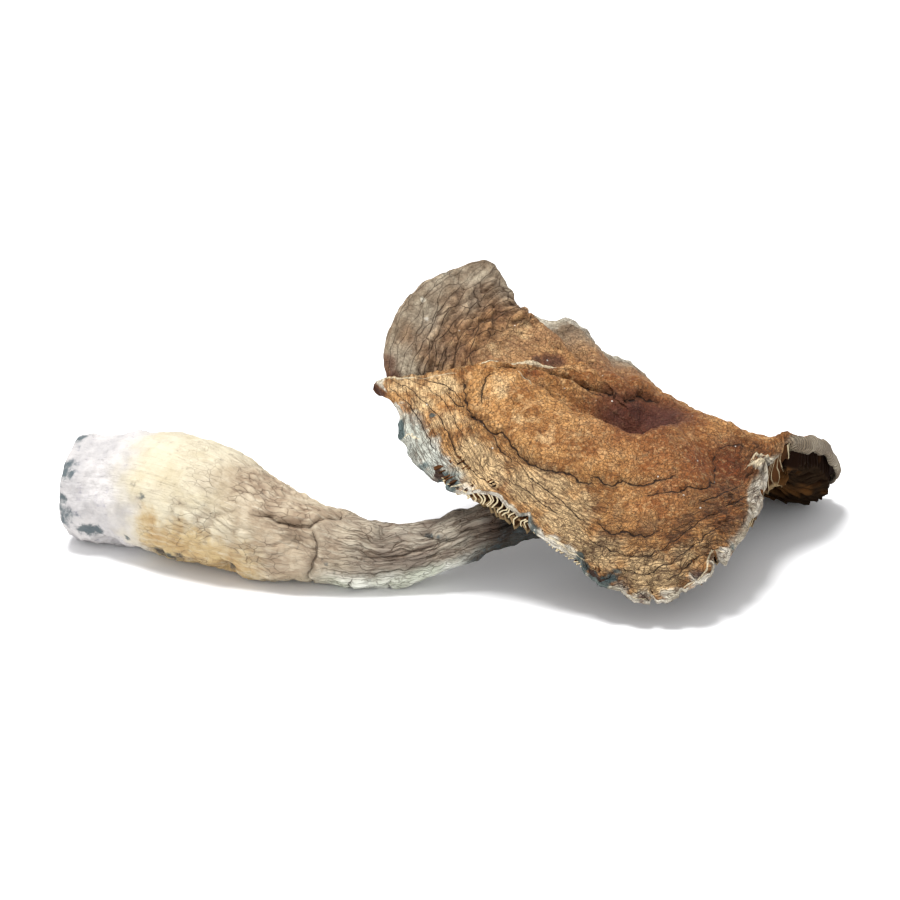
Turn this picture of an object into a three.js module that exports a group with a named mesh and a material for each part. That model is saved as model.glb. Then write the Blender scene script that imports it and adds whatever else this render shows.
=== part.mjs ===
// Dried magic mushroom lying on its side, belly of the stem and back rim of the cap on the table.
// Millimetres, +Z up, +X along the stem towards the cap, front of the cap towards -Y.
import * as THREE from 'three';

// ---- driving dimensions ----
const CAP_CENTRE = [18, 10, 13.7];    // top of the cap where the stem meets it
const CAP_THICK_CENTRE = 1.6;         // flesh at the middle of the cap
const CAP_THICK_RIM = 0.8;            // flesh at the rim
const SWELL_SKEW = 0.6;               // how much the swelling leans towards the middle
const DIMPLE_DEPTH = 1.2;             // sunken centre
const DIMPLE_SHARE = 0.15;            // its radius as a share of the reach
const CENTRE_SMOOTH = [0.05, 0.28];   // inside this the skin swells evenly all round
const STEEPEST = 2.5;                 // limit on how far steep skin is thickened vertically
const STEEPEST_CENTRE = 1.2;          // the same limit at the middle of the cap
const GAP = 0.3;                      // between two organs
const GILL_WEB = 0.5;                 // sheet the gill plates hang from
const GILL_DEPTH = 2.0;               // deepest gill plate
const GILL_INNER = 0.18;              // gills start here, as a share of the reach
const GILL_OUTER = 0.94;              // and stop here
const TABLE = 0;                      // nothing goes below the table

// Cap rim, anticlockwise from the left corner: bearing (deg), reach, height, swelling of the skin inwards.
const RIM = [
  [182, 25.0, 16.9, 3.2],   // left corner, on the crest of the fold
  [191, 24.0, 15.2, 3.2],
  [199, 23.5, 13.6, 3.2],
  [206, 22.0, 12.3, 3.0],
  [215, 20.5, 10.8, 3.0],
  [226, 19.0, 9.7, 3.0],    // notch where the gills show
  [237, 18.5, 8.0, 3.0],
  [248, 18.5, 6.0, 3.0],
  [260, 19.5, 3.9, 3.0],
  [271, 20.2, 2.8, 3.0],    // front tip
  [285, 18.5, 4.7, 3.0],
  [300, 16.0, 6.8, 2.4],
  [322, 14.2, 8.3, 1.4],
  [343, 13.0, 10.2, 0.2],   // foot of the arch
  [355, 14.5, 11.6, -0.6],
  [6, 16.5, 11.0, -0.6],    // top of the arch
  [16, 19.5, 8.0, 0.0],
  [25, 22.0, 3.6, 1.0],
  [37, 21.0, 1.4, 2.2],     // back rim on the table
  [53, 20.0, 1.4, 2.6],
  [70, 18.5, 5.5, 2.0],
  [88, 15.6, 12.6, 1.0],    // right-hand end of the back flap
  [101, 15.0, 15.0, 0.0],
  [113, 15.3, 17.4, -0.5],
  [124, 16.8, 18.8, -1.0],
  [132, 17.8, 20.8, -1.2],
  [139, 18.2, 24.8, -1.2],  // peak of the back flap
  [147, 20.0, 24.6, -1.0],
  [158, 21.5, 23.4, -0.6],
  [167, 23.5, 21.4, 0.0],
  [174, 24.5, 18.8, 0.8],
  [178, 24.0, 16.0, 1.4],   // valley behind the fold
];
const STEPS_PER_POINT = 3;            // even count of stations: gill edge, gill root, gill edge ...
const CAP_RINGS = [0.06, 0.12, 0.18, 0.26, 0.36, 0.48, 0.6, 0.72, 0.83, 0.94, 1];

// Stem axis from the cut base to the cap: x, y, z, radius.
const STEM = [
  [-36.0, 12.6, 4.95, 4.7],   // cut base
  [-34.0, 12.0, 4.9, 5.0],
  [-31.0, 11.0, 5.2, 5.35],
  [-26.5, 8.4, 5.75, 5.95],
  [-21.9, 5.4, 5.45, 5.7],    // belly
  [-17.0, 2.5, 4.4, 4.6],
  [-11.4, 0.8, 3.55, 3.75],
  [-6.2, 0.0, 2.95, 3.05],    // heel of the bend
  [-1.9, 0.2, 3.7, 2.5],
  [2.9, 1.0, 5.3, 2.1],       // neck
  [8.0, 3.6, 5.7, 2.1],
  [12.8, 6.6, 6.0, 2.2],
  [16.0, 8.7, 6.7, 2.3],
  [17.7, 9.8, 7.9, 2.3],
  [18.0, 10.0, 9.2, 2.2],     // under the centre of the cap
];
const STEM_SHORT = 0.3;               // the flesh sags lower beside the very centre
const STEM_SIDES = 24;
const STEM_STEPS = 30;
const BASE_ROUNDING = [[-0.9, 0.0], [-0.85, 0.45], [-0.55, 0.85]];   // along the axis in mm, share of radius

// ---- helpers ----
const mod = (i, n) => ((i % n) + n) % n;

// Catmull-Rom value through four numbers
function blend(a, b, c, d, t) {
  return 0.5 * (2 * b + (c - a) * t + (2 * a - 5 * b + 4 * c - d) * t * t + (3 * b - a - 3 * c + d) * t ** 3);
}

function sampleLoop(rows, u) {
  const i = Math.floor(u);
  const t = u - i;
  const row = (k) => rows[mod(i + k, rows.length)];
  return rows[0].map((_, j) => blend(row(-1)[j], row(0)[j], row(1)[j], row(2)[j], t));
}

function sampleLine(rows, u) {
  const last = rows.length - 1;
  const i = Math.min(Math.floor(u), last - 1);
  const t = u - i;
  const row = (k) => rows[Math.min(Math.max(i + k, 0), last)];
  return rows[0].map((_, j) => blend(row(-1)[j], row(0)[j], row(1)[j], row(2)[j], t));
}

const rimPoints = RIM.map(([bearing, reach, height, swell]) => {
  const a = THREE.MathUtils.degToRad(bearing);
  return [CAP_CENTRE[0] + reach * Math.cos(a), CAP_CENTRE[1] + reach * Math.sin(a), height, swell];
});

const meanSwell = RIM.reduce((sum, row) => sum + row[3], 0) / RIM.length;

// Point on the top skin: r is the share of the reach (0 centre, 1 rim), u runs around the rim
function skin(r, u) {
  const [x, y, z, ownSwell] = sampleLoop(rimPoints, u);
  const own = THREE.MathUtils.smoothstep(r, CENTRE_SMOOTH[0], CENTRE_SMOOTH[1]);
  const swell = THREE.MathUtils.lerp(meanSwell, ownSwell, own);
  const bump = 4 * swell * r * (1 - r) * (1 + SWELL_SKEW * (1 - 2 * r));
  const dimple = DIMPLE_DEPTH * Math.exp(-((r / DIMPLE_SHARE) ** 2));
  return new THREE.Vector3(
    CAP_CENTRE[0] + (x - CAP_CENTRE[0]) * r,
    CAP_CENTRE[1] + (y - CAP_CENTRE[1]) * r,
    CAP_CENTRE[2] + (z - CAP_CENTRE[2]) * r + bump - dimple,
  );
}

// How much longer a vertical cut through the skin is than a square one
function steepness(r, u) {
  const h = 1e-3;
  const s = Math.max(r, 0.02);
  const across = skin(s, u).sub(skin(s - h, u));
  const along = skin(s, u + h).sub(skin(s, u - h));
  const n = across.cross(along);
  const limit = THREE.MathUtils.lerp(STEEPEST_CENTRE, STEEPEST, Math.min(r / 0.3, 1));
  return Math.min(n.length() / Math.abs(n.z), limit);
}

function below(r, u, depth) {
  const p = skin(r, u);
  p.z = Math.max(p.z - depth * steepness(r, u), TABLE);
  return p;
}

const fleshAt = (r) => THREE.MathUtils.lerp(CAP_THICK_CENTRE, CAP_THICK_RIM, r);

// Collects rings of points and joins them into one closed body
class Lofter {
  constructor() {
    this.points = [];
    this.faces = [];
  }
  point(p) {
    this.points.push(p.x, p.y, p.z);
    return this.points.length / 3 - 1;
  }
  ring(list) {
    return list.map((p) => this.point(p));
  }
  join(a, b) {
    const n = a.length;
    for (let i = 0; i < n; i += 1) {
      const j = (i + 1) % n;
      this.faces.push(a[i], b[i], b[j]);
      this.faces.push(a[i], b[j], a[j]);
    }
  }
  fan(centre, ring) {
    ring.forEach((p, i) => this.faces.push(centre, p, ring[(i + 1) % ring.length]));
  }
  fanBack(centre, ring) {
    ring.forEach((p, i) => this.faces.push(centre, ring[(i + 1) % ring.length], p));
  }
  geometry() {
    const g = new THREE.BufferGeometry();
    g.setAttribute('position', new THREE.Float32BufferAttribute(this.points, 3));
    g.setIndex(this.faces);
    g.computeVertexNormals();
    return g;
  }
}

const stations = Array.from({ length: RIM.length * STEPS_PER_POINT }, (_, i) => i / STEPS_PER_POINT);

// ---- cap: one skin, thick in the middle, thin at the rim ----
function buildCap() {
  const b = new Lofter();
  const top = b.point(skin(0, 0));
  const upper = CAP_RINGS.map((r) => b.ring(stations.map((u) => skin(r, u))));
  const lower = CAP_RINGS.map((r) => b.ring(stations.map((u) => below(r, u, fleshAt(r)))));
  const middle = skin(0, 0);
  middle.z -= CAP_THICK_CENTRE * STEEPEST_CENTRE;
  const bottom = b.point(middle);
  b.fan(top, upper[0]);
  upper.slice(1).forEach((ring, i) => b.join(upper[i], ring));
  b.join(upper.at(-1), lower.at(-1));
  lower.slice(1).forEach((ring, i) => b.join(ring, lower[i]));
  b.fanBack(bottom, lower[0]);
  return b.geometry();
}

// ---- gills: a web under the flesh with plates hanging from it ----
function buildGills() {
  const b = new Lofter();
  const rings = CAP_RINGS.filter((r) => r >= GILL_INNER && r <= GILL_OUTER);
  const hang = (r) => GILL_DEPTH * Math.min(1, (r - GILL_INNER) / 0.12, (GILL_OUTER - r) / 0.2);
  const web = (r) => fleshAt(r) + GAP;
  const upper = rings.map((r) => b.ring(stations.map((u) => below(r, u, web(r)))));
  const lower = rings.map((r) => b.ring(stations.map((u, i) => {
    const p = below(r, u, web(r) + GILL_WEB);
    p.z -= i % 2 === 0 ? hang(r) : 0;
    p.z = Math.max(p.z, TABLE);
    return p;
  })));
  upper.slice(1).forEach((ring, i) => b.join(upper[i], ring));
  b.join(upper.at(-1), lower.at(-1));
  lower.slice(1).forEach((ring, i) => b.join(ring, lower[i]));
  b.join(lower[0], upper[0]);
  return b.geometry();
}

// ---- stem: rings carried along the axis ----
function buildStem() {
  const b = new Lofter();
  const last = STEM.length - 1;
  const at = (u) => new THREE.Vector3(...sampleLine(STEM, u).slice(0, 3));
  const heading = (u) => at(Math.min(u + 0.01, last)).sub(at(Math.max(u - 0.01, 0))).normalize();
  const circle = (centre, side, lift, radius) => Array.from({ length: STEM_SIDES }, (_, i) => {
    const a = (2 * Math.PI * (i + 0.5)) / STEM_SIDES;
    const p = centre.clone();
    p.addScaledVector(side, radius * Math.cos(a)).addScaledVector(lift, radius * Math.sin(a));
    p.z = Math.max(p.z, TABLE);
    return p;
  });
  let side = new THREE.Vector3().crossVectors(heading(0), new THREE.Vector3(0, 0, 1)).normalize();
  let lift = new THREE.Vector3().crossVectors(side, heading(0));
  const start = heading(0);
  const base = at(0);
  const rings = [];
  BASE_ROUNDING.slice(1).forEach(([along, share]) => {
    const c = base.clone().addScaledVector(start, along);
    rings.push(b.ring(circle(c, side, lift, STEM[0][3] * share)));
  });
  for (let k = 0; k <= STEM_STEPS; k += 1) {
    const u = (last * k) / STEM_STEPS;
    const h = heading(u);
    side = side.clone().addScaledVector(h, -side.dot(h)).normalize();
    lift = new THREE.Vector3().crossVectors(side, h);
    rings.push(b.ring(circle(at(u), side, lift, sampleLine(STEM, u)[3])));
  }
  const tail = at(last);
  const end = heading(last);
  const ceiling = CAP_CENTRE[2] - DIMPLE_DEPTH - CAP_THICK_CENTRE * STEEPEST_CENTRE;
  const reach = ceiling - GAP - STEM_SHORT - tail.z;
  [[0.5, 0.75], [0.85, 0.4]].forEach(([along, share]) => {
    const c = tail.clone().addScaledVector(end, reach * along);
    rings.push(b.ring(circle(c, side, lift, STEM[last][3] * share)));
  });
  rings.slice(1).forEach((ring, i) => b.join(rings[i], ring));
  b.fan(b.point(base.clone().addScaledVector(start, BASE_ROUNDING[0][0])), rings[0]);
  b.fanBack(b.point(tail.clone().addScaledVector(end, reach)), rings.at(-1));
  return b.geometry();
}

function organ(name, geometry, colour, roughness) {
  const material = new THREE.MeshStandardMaterial({ color: colour, roughness, metalness: 0 });
  const mesh = new THREE.Mesh(geometry, material);
  mesh.name = name;
  return mesh;
}

const mushroom = new THREE.Group();
mushroom.name = 'magic_mushroom';
mushroom.add(
  organ('cap', buildCap(), '#9a6a40', 0.85),
  organ('gills', buildGills(), '#4a3228', 0.9),
  organ('stem', buildStem(), '#c9b692', 0.85),
);

// origin under the middle of the whole mushroom, on the table
const box = new THREE.Box3().setFromObject(mushroom);
mushroom.children.forEach((mesh) => {
  mesh.geometry.translate(-(box.min.x + box.max.x) / 2, -(box.min.y + box.max.y) / 2, -box.min.z);
});

export default mushroom;
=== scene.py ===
"""A dried magic mushroom lying on its side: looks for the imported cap, gills and stem."""

import functools
import itertools
import math
from types import SimpleNamespace

import bpy
import numpy as np
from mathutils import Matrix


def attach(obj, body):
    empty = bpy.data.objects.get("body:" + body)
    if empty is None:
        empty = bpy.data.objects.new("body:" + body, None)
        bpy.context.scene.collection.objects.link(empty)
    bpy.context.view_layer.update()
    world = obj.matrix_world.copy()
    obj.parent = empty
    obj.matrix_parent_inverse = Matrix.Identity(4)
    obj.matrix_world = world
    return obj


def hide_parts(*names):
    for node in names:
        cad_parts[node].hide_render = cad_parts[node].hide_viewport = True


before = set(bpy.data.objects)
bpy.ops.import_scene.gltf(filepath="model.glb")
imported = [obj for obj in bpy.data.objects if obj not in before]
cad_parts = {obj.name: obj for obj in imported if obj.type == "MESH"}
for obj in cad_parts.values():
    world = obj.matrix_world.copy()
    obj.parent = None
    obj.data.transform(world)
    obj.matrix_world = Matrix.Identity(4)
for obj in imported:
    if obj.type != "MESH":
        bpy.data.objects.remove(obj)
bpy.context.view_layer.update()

# ---------------------------------------------------------------- sizes, in millimetres

MM = 0.001
OFFSET = np.array([-0.131, -0.594, 0.0])  # from the drawing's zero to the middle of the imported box
CAP_CENTRE = OFFSET + (18.0, 2.0, 13.7)  # top of the cap where the stem meets it
SWELL_SKEW = 0.6  # how much of the cap's swelling lies towards its centre
DIMPLE_DEPTH = 1.2
DIMPLE_SHARE = 0.15
CENTRE_SMOOTH = (0.05, 0.28)  # shares of the reach between which the rim's own swelling sets in

# Cap rim, anticlockwise from the left corner: bearing (deg), reach, height, swelling inwards
RIM = [
    (182, 25.2, 17.4, 3.2), (191, 23.6, 15.3, 3.2), (199, 23.8, 13.4, 3.2), (206, 23.0, 12.0, 3.0),
    (215, 21.5, 10.6, 3.0), (226, 19.2, 9.7, 3.0), (237, 18.5, 8.0, 3.0), (248, 18.5, 6.0, 3.0),
    (260, 19.5, 3.9, 3.0), (271, 20.2, 2.8, 3.0), (285, 19.9, 4.7, 3.0), (300, 17.6, 6.8, 2.4),
    (322, 14.6, 8.3, 1.4), (343, 13.3, 10.2, 0.2), (355, 15.0, 11.4, -0.6), (6, 17.3, 10.5, -0.6),
    (16, 20.0, 7.8, 0.0), (25, 22.2, 3.7, 1.0), (37, 21.0, 1.4, 2.2), (53, 20.0, 1.4, 2.6),
    (70, 18.5, 5.5, 2.0), (88, 15.6, 12.4, 1.0), (101, 15.1, 14.7, 0.0), (113, 15.9, 18.2, -0.5),
    (124, 16.9, 18.7, -1.0), (132, 17.8, 20.5, -1.2), (139, 18.3, 24.7, -1.2), (147, 20.6, 24.4, -1.0),
    (158, 22.4, 23.6, -0.6), (167, 23.8, 21.6, 0.0), (174, 24.3, 18.9, 0.8), (178, 23.8, 16.0, 1.4),
]

# Local hills and hollows of the skin: bearing, share of the reach, height, radius
SWELLS = [
    (0, 0.42, 1.2, 3.6),  # shoulder right of the centre
    (2, 0.76, -1.0, 2.6),  # saddle before the arch
    (134, 0.85, -1.8, 1.9),  # hollow beside the flap's peak
    (222, 0.97, 0.6, 2.4),  # arch over the bared gills
    (358, 0.90, 1.0, 1.1),  # lump behind the arch
    (262, 0.15, -1.4, 2.5),  # trough round the middle, running up to the left
    (305, 0.17, -1.0, 2.4),
    (345, 0.17, -0.6, 2.2),
    (232, 0.19, -1.1, 2.1),
    (210, 0.21, -1.1, 2.0),
    (198, 0.26, -1.3, 1.8),
    (191, 0.33, -1.3, 1.5),
    (187, 0.41, -0.9, 1.3),
    (193, 0.43, 0.25, 1.2),  # its front lip
    (208, 0.37, 0.25, 1.3),
    (228, 0.34, 0.25, 1.4),
    (250, 0.31, 0.30, 1.4),
    (275, 0.28, 0.30, 1.5),
    (305, 0.30, 0.35, 1.6),
    (335, 0.34, 0.30, 1.6),
    (148, 0.30, 0.7, 1.9),  # ridge behind it
    (118, 0.28, 0.8, 2.1),
    (80, 0.30, 0.6, 2.3),
    (70, 0.34, 0.2, 3.0),
    (183, 0.55, 0.35, 2.5),  # crest of the fold
    (290, 0.70, 0.5, 3.0),
    (240, 0.60, 0.4, 3.0),
    (255, 0.85, -0.5, 2.5),
    (205, 0.80, 0.4, 2.5),
    (315, 0.55, -0.4, 2.5),
    (256, 0.93, 0.5, 1.0),  # tongue at the front margin
    (337, 0.93, 0.7, 0.7),  # torn curl
    (284, 0.955, -0.6, 0.7),  # pit at the margin
]

# How far the rim rolls under: bearing, degrees, radius, thickness of the flesh there
ROLL = [
    (4, 172, 0.8, 0.5), (22, 172, 0.8, 0.5), (28, 150, 0.7, 0.45), (34, 70, 0.35, 0.35),
    (130, 80, 0.4, 0.45), (150, 95, 0.5, 0.5), (170, 90, 0.45, 0.5), (175, 150, 0.65, 0.5),
    (178, 60, 0.35, 0.45), (180.5, 190, 0.8, 0.5), (184, 190, 0.85, 0.5), (187, 80, 0.4, 0.45),
    (205, 70, 0.35, 0.45), (214, 50, 0.5, 0.6), (224, 45, 0.6, 0.85), (240, 45, 0.55, 0.75),
    (254, 60, 0.4, 0.5), (288, 70, 0.4, 0.45), (297, 120, 0.6, 0.45), (306, 150, 0.8, 0.5),
    (330, 158, 0.85, 0.5), (336, 150, 0.7, 0.45), (339.5, 30, 0.35, 0.4), (352.5, 30, 0.35, 0.4),
    (356, 200, 0.8, 0.5),
]

# Cracks in the skin: half width, depth, then bearing and share along each
CRACKS = [
    (0.2, 0.4, [(187, 0.7), (191, 0.72), (194, 0.72), (197, 0.71), (200, 0.69), (203, 0.69), (206, 0.69),
        (208, 0.66), (213, 0.68), (218, 0.7), (222, 0.73), (226, 0.74), (231, 0.74), (234, 0.71),
        (237, 0.7), (241, 0.7), (244, 0.68), (248, 0.67)]),
    (0.18, 0.35, [(247, 0.645), (249, 0.625), (251, 0.615), (255, 0.61), (258, 0.58), (260, 0.55),
        (262, 0.55), (265, 0.54), (268, 0.54), (273, 0.53), (276, 0.53), (281, 0.55), (286, 0.58)]),
    (0.17, 0.32, [(271, 0.58), (275, 0.59), (279, 0.6), (283, 0.63), (286, 0.64), (290, 0.65), (294, 0.68),
        (299, 0.71), (305, 0.71), (311, 0.68), (318, 0.64), (323, 0.6)]),
    (0.17, 0.3, [(254, 0.77), (258, 0.77), (262, 0.75), (266, 0.745), (270, 0.74), (274, 0.74)]),
    (0.14, 0.22, [(207, 0.69), (209, 0.7), (212, 0.72), (214, 0.73), (218, 0.75)]),
    (0.15, 0.3, [(187, 0.58), (188, 0.61), (190, 0.64), (193, 0.66), (195, 0.66)]),
    (0.14, 0.25, [(189, 0.78), (192, 0.77), (194, 0.74), (195, 0.72)]),
    (0.11, 0.22, [(183, 0.94), (185, 0.9), (191, 0.86), (196, 0.83), (202, 0.83), (207, 0.86), (211, 0.865),
        (216, 0.89), (223, 0.93)]),
    (0.08, 0.14, [(183, 0.93), (188, 0.91), (193, 0.895), (199, 0.87), (205, 0.89), (211, 0.91)]),
    (0.09, 0.16, [(182.5, 0.9), (186, 0.83), (191, 0.8), (200, 0.78), (207, 0.8), (215, 0.84)]),
    (0.16, 0.3, [(188, 0.46), (190, 0.39), (193, 0.345), (199, 0.315), (205, 0.28)]),
    (0.26, 0.7, [(185, 0.54), (183, 0.45), (168, 0.42), (161, 0.37), (160, 0.32), (161, 0.26), (159, 0.2),
        (152, 0.15), (138, 0.125), (107, 0.14), (83, 0.18), (60, 0.21)]),
    (0.12, 0.22, [(178, 0.36), (170, 0.31), (168, 0.25), (168, 0.19), (164, 0.14)]),
    (0.08, 0.15, [(184, 0.6), (182, 0.54), (170, 0.47), (164, 0.43), (162, 0.4)]),
    (0.08, 0.15, [(160, 0.42), (156, 0.36), (157, 0.3), (156, 0.24), (150, 0.19)]),
    (0.08, 0.15, [(157, 0.39), (152, 0.33), (151, 0.27), (146, 0.21), (130, 0.18)]),
    (0.12, 0.14, [(183, 0.84), (187, 0.76), (193, 0.73)]),
    (0.12, 0.14, [(185, 0.96), (190, 0.93), (197, 0.9), (204, 0.91)]),
    (0.12, 0.12, [(225, 0.8), (234, 0.81), (243, 0.82), (250, 0.81)]),
    (0.12, 0.12, [(222, 0.85), (232, 0.87), (241, 0.87)]),
    (0.12, 0.14, [(252, 0.85), (262, 0.83), (272, 0.82), (281, 0.8), (290, 0.8), (300, 0.84)]),
    (0.12, 0.14, [(262, 0.9), (270, 0.89), (279, 0.87), (288, 0.86), (297, 0.88)]),
    (0.12, 0.12, [(292, 0.74), (300, 0.77), (310, 0.8), (322, 0.84)]),
    (0.12, 0.12, [(300, 0.82), (308, 0.86), (318, 0.9)]),
    (0.12, 0.1, [(330, 0.62), (338, 0.7), (344, 0.78)]),
    (0.12, 0.4, [(251.5, 0.93), (252.3, 0.965), (254, 0.985), (257, 0.985), (259.5, 0.96), (261, 0.91)]),
    (0.1, 0.3, [(262, 0.955), (265, 0.96)]),
    (0.11, 0.35, [(267, 0.955), (269.5, 0.965), (271, 0.995)]),
    (0.14, 0.3, [(276, 0.93), (281, 0.92), (286, 0.9), (289, 0.93)]),
    (0.13, 0.35, [(282.5, 0.94), (284, 0.96), (285.5, 0.955)]),
    (0.12, 0.4, [(208, 0.955), (210, 0.97), (211, 0.995)]),
    (0.12, 0.4, [(212.5, 0.95), (213, 0.975), (212, 1.0)]),
]

# Pale torn lines: half width, height, then bearing and share along each
TEARS = [
    (0.14, 0.12, [(182.2, 0.99), (182.6, 0.93), (183.2, 0.86)]),
    (0.08, 0.06, [(183.2, 0.86), (183.8, 0.78), (184, 0.7)]),
    (0.16, 0.12, [(175, 0.57), (173, 0.54), (169, 0.5)]),
    (0.26, 0.15, [(168, 0.5), (165, 0.47), (162, 0.44), (159, 0.41), (157, 0.395)]),
    (0.14, 0.1, [(183.5, 0.6), (182, 0.54), (176, 0.51)]),
    (0.24, 0.55, [(329, 0.83), (333, 0.87), (337, 0.92)]),
    (0.2, 0.5, [(336, 0.855), (340, 0.88), (344, 0.92)]),
    (0.18, 0.4, [(333, 0.9), (337, 0.94), (343, 0.945)]),
    (0.1, 0.05, [(187, 0.48), (190, 0.45), (194, 0.45)]),
    (0.1, 0.05, [(197.5, 0.995), (197, 0.97), (197.5, 0.945)]),
    (0.17, 0.1, [(198, 0.955), (199, 0.935)]),
    (0.16, 0.12, [(213.5, 0.985), (214.5, 0.955)]),
    (0.2, 0.12, [(240, 0.985), (244, 0.975), (248, 0.98), (251, 0.96)]),
    (0.12, 0.12, [(279, 0.985), (283, 0.99), (287, 0.975), (288, 0.94), (290, 0.925), (293, 0.97)]),
    (0.12, 0.1, [(262, 0.985), (267, 0.99), (270, 0.985)]),
]

# Bites out of the rim: bearing, depth, half width
BITES = [
    (290.5, 1.3, 0.45), (279, 0.5, 0.25), (271.5, 0.8, 0.22), (263, 0.4, 0.8), (250, 0.4, 0.7),
    (233, 0.9, 0.4), (222, 0.5, 2.2), (211, 0.8, 0.5), (199, 0.4, 0.8), (190, 0.5, 1.4), (338.5, 0.9, 0.4),
    (29.5, -0.8, 0.45), (352, 0.5, 0.5), (310, 0.4, 1.2), (327, 0.5, 0.7), (100, 0.6, 1.5), (119, 0.8, 1.2),
    (60, 0.5, 1.5), (75, 0.7, 1.0), (105, 0.7, 1.1),
]

# Soft patches of colour on the cap: bearing, share, radius, strength
PATCHES = {
    "gold": [
        (250, 0.93, 1.6, 1.3), (247, 0.9, 1.8, 1.2), (184, 0.9, 3.0, 0.85), (187, 0.78, 2.4, 1.0),
        (190, 0.88, 2.0, 1.0), (193, 0.58, 2.0, 0.85), (210, 0.82, 2.4, 1.3), (216, 0.86, 2.6, 1.5),
        (197, 0.82, 2.0, 0.9), (228, 0.84, 3.0, 1.2), (242, 0.86, 3.0, 1.1), (256, 0.88, 2.8, 1.1),
        (270, 0.89, 2.8, 1.3), (275, 0.92, 2.0, 1.2), (282, 0.88, 2.4, 0.9), (235, 0.78, 2.2, 1.1),
        (236, 0.86, 2.0, 0.9), (227, 0.9, 2.5, 0.8), (245, 0.76, 2.4, 0.8), (222, 0.8, 2.5, 0.8),
        (208, 0.58, 2.0, 0.6), (220, 0.6, 1.8, 0.55), (180, 0.58, 1.2, 0.8), (150, 0.62, 2.5, 0.7),
        (194, 0.285, 1.3, 1.3), (200, 0.24, 1.0, 1.1), (245, 0.9, 2.2, 0.7), (265, 0.86, 2.5, 0.7),
        (275, 0.88, 2.5, 0.6), (285, 0.88, 2.0, 0.7), (200, 0.72, 1.6, 0.6), (230, 0.52, 2.0, 0.6),
        (165, 0.6, 2.0, 0.6), (204, 0.9, 1.2, 0.8), (300, 0.93, 1.5, 0.6),
    ],
    "red": [
        (285, 0.6, 4.0, 0.8), (300, 0.7, 3.5, 0.8), (205, 0.13, 1.8, 1.2), (186, 0.4, 1.3, 1.1),
        (176, 0.36, 1.5, 0.9), (325, 0.72, 4.5, 1.2), (305, 0.58, 4.0, 1.1), (250, 0.36, 4.0, 0.7),
        (285, 0.42, 4.5, 0.8), (315, 0.6, 4.5, 0.9), (330, 0.8, 4.0, 1.0), (300, 0.78, 3.5, 0.8),
        (345, 0.45, 3.0, 0.5), (110, 0.3, 4.0, 0.8), (268, 0.68, 3.0, 0.4), (0, 0.05, 5.5, 1.3),
        (200, 0.18, 2.5, 1.0), (10, 0.25, 3.0, 0.8),
    ],
    "purple": [
        (185, 1.0, 0.6, 0.5), (176.8, 1.0, 0.9, 1.0), (175.4, 1.0, 0.9, 0.8), (284, 0.955, 0.5, 1.0),
        (269, 0.975, 0.35, 0.8), (209, 0.97, 0.4, 0.7), (265, 0.08, 2.8, 1.3), (20, 0.1, 2.8, 1.4),
        (330, 0.18, 2.2, 1.3), (90, 0.08, 2.2, 1.2), (195, 0.08, 2.3, 1.1), (300, 0.2, 1.6, 0.7),
        (154.5, 0.43, 0.8, 1.5), (150, 0.42, 0.7, 1.4), (159, 0.455, 0.6, 1.2), (250, 0.17, 2.4, 1.2),
        (288, 0.16, 2.4, 1.1), (226, 0.19, 1.5, 0.8), (176, 0.61, 0.35, 1.8), (348, 0.28, 1.6, 0.6),
        (197, 0.33, 0.5, 0.8), (150, 0.12, 1.8, 0.8),
    ],
    "blue": [
        (206, 0.985, 1.0, 0.7), (210, 0.955, 0.8, 1.0), (213, 0.97, 0.9, 1.1), (233, 0.985, 0.7, 1.3),
        (236, 0.99, 0.7, 1.0), (225, 1.0, 0.7, 0.6), (201, 0.98, 1.0, 0.5), (250.5, 0.955, 0.5, 1.2),
        (252, 0.985, 0.6, 1.3), (255, 0.995, 0.7, 1.2), (258.5, 0.985, 0.6, 1.3), (260.5, 0.955, 0.55, 1.3),
        (261.5, 0.92, 0.5, 1.0), (194, 0.86, 0.45, 1.1), (297, 1.0, 0.8, 0.6), (150, 1.0, 1.2, 0.35),
        (160, 0.985, 1.5, 0.35),
    ],
    "pale": [
        (181.5, 0.99, 0.8, 2.0), (180, 0.97, 0.5, 1.2), (293.5, 0.985, 0.8, 1.4), (291, 0.96, 0.5, 1.2),
        (334, 0.87, 0.5, 1.0), (341, 0.9, 0.5, 1.0), (197, 0.955, 1.8, 1.1), (202, 0.94, 2.0, 1.2),
        (207, 0.945, 1.6, 1.1), (212, 0.96, 1.2, 0.9), (216, 0.97, 1.2, 0.8), (192, 0.97, 1.2, 0.8),
        (263, 0.975, 1.3, 0.8), (269, 0.98, 1.4, 0.8), (276, 0.985, 1.3, 0.8), (284, 0.985, 1.2, 0.9),
        (290, 0.975, 1.0, 0.9), (297, 0.98, 1.0, 0.6), (247, 0.98, 0.9, 1.3), (242, 0.985, 0.7, 1.2),
        (238, 0.99, 0.6, 1.0), (228, 0.985, 0.6, 0.9), (221, 0.985, 0.6, 1.0), (336, 0.96, 0.9, 1.2),
        (341, 0.98, 0.7, 1.2), (165, 0.89, 0.35, 1.0), (161, 0.95, 0.35, 1.0), (190, 0.95, 1.2, 0.5),
        (300, 0.975, 1.0, 0.6),
    ],
}

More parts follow.
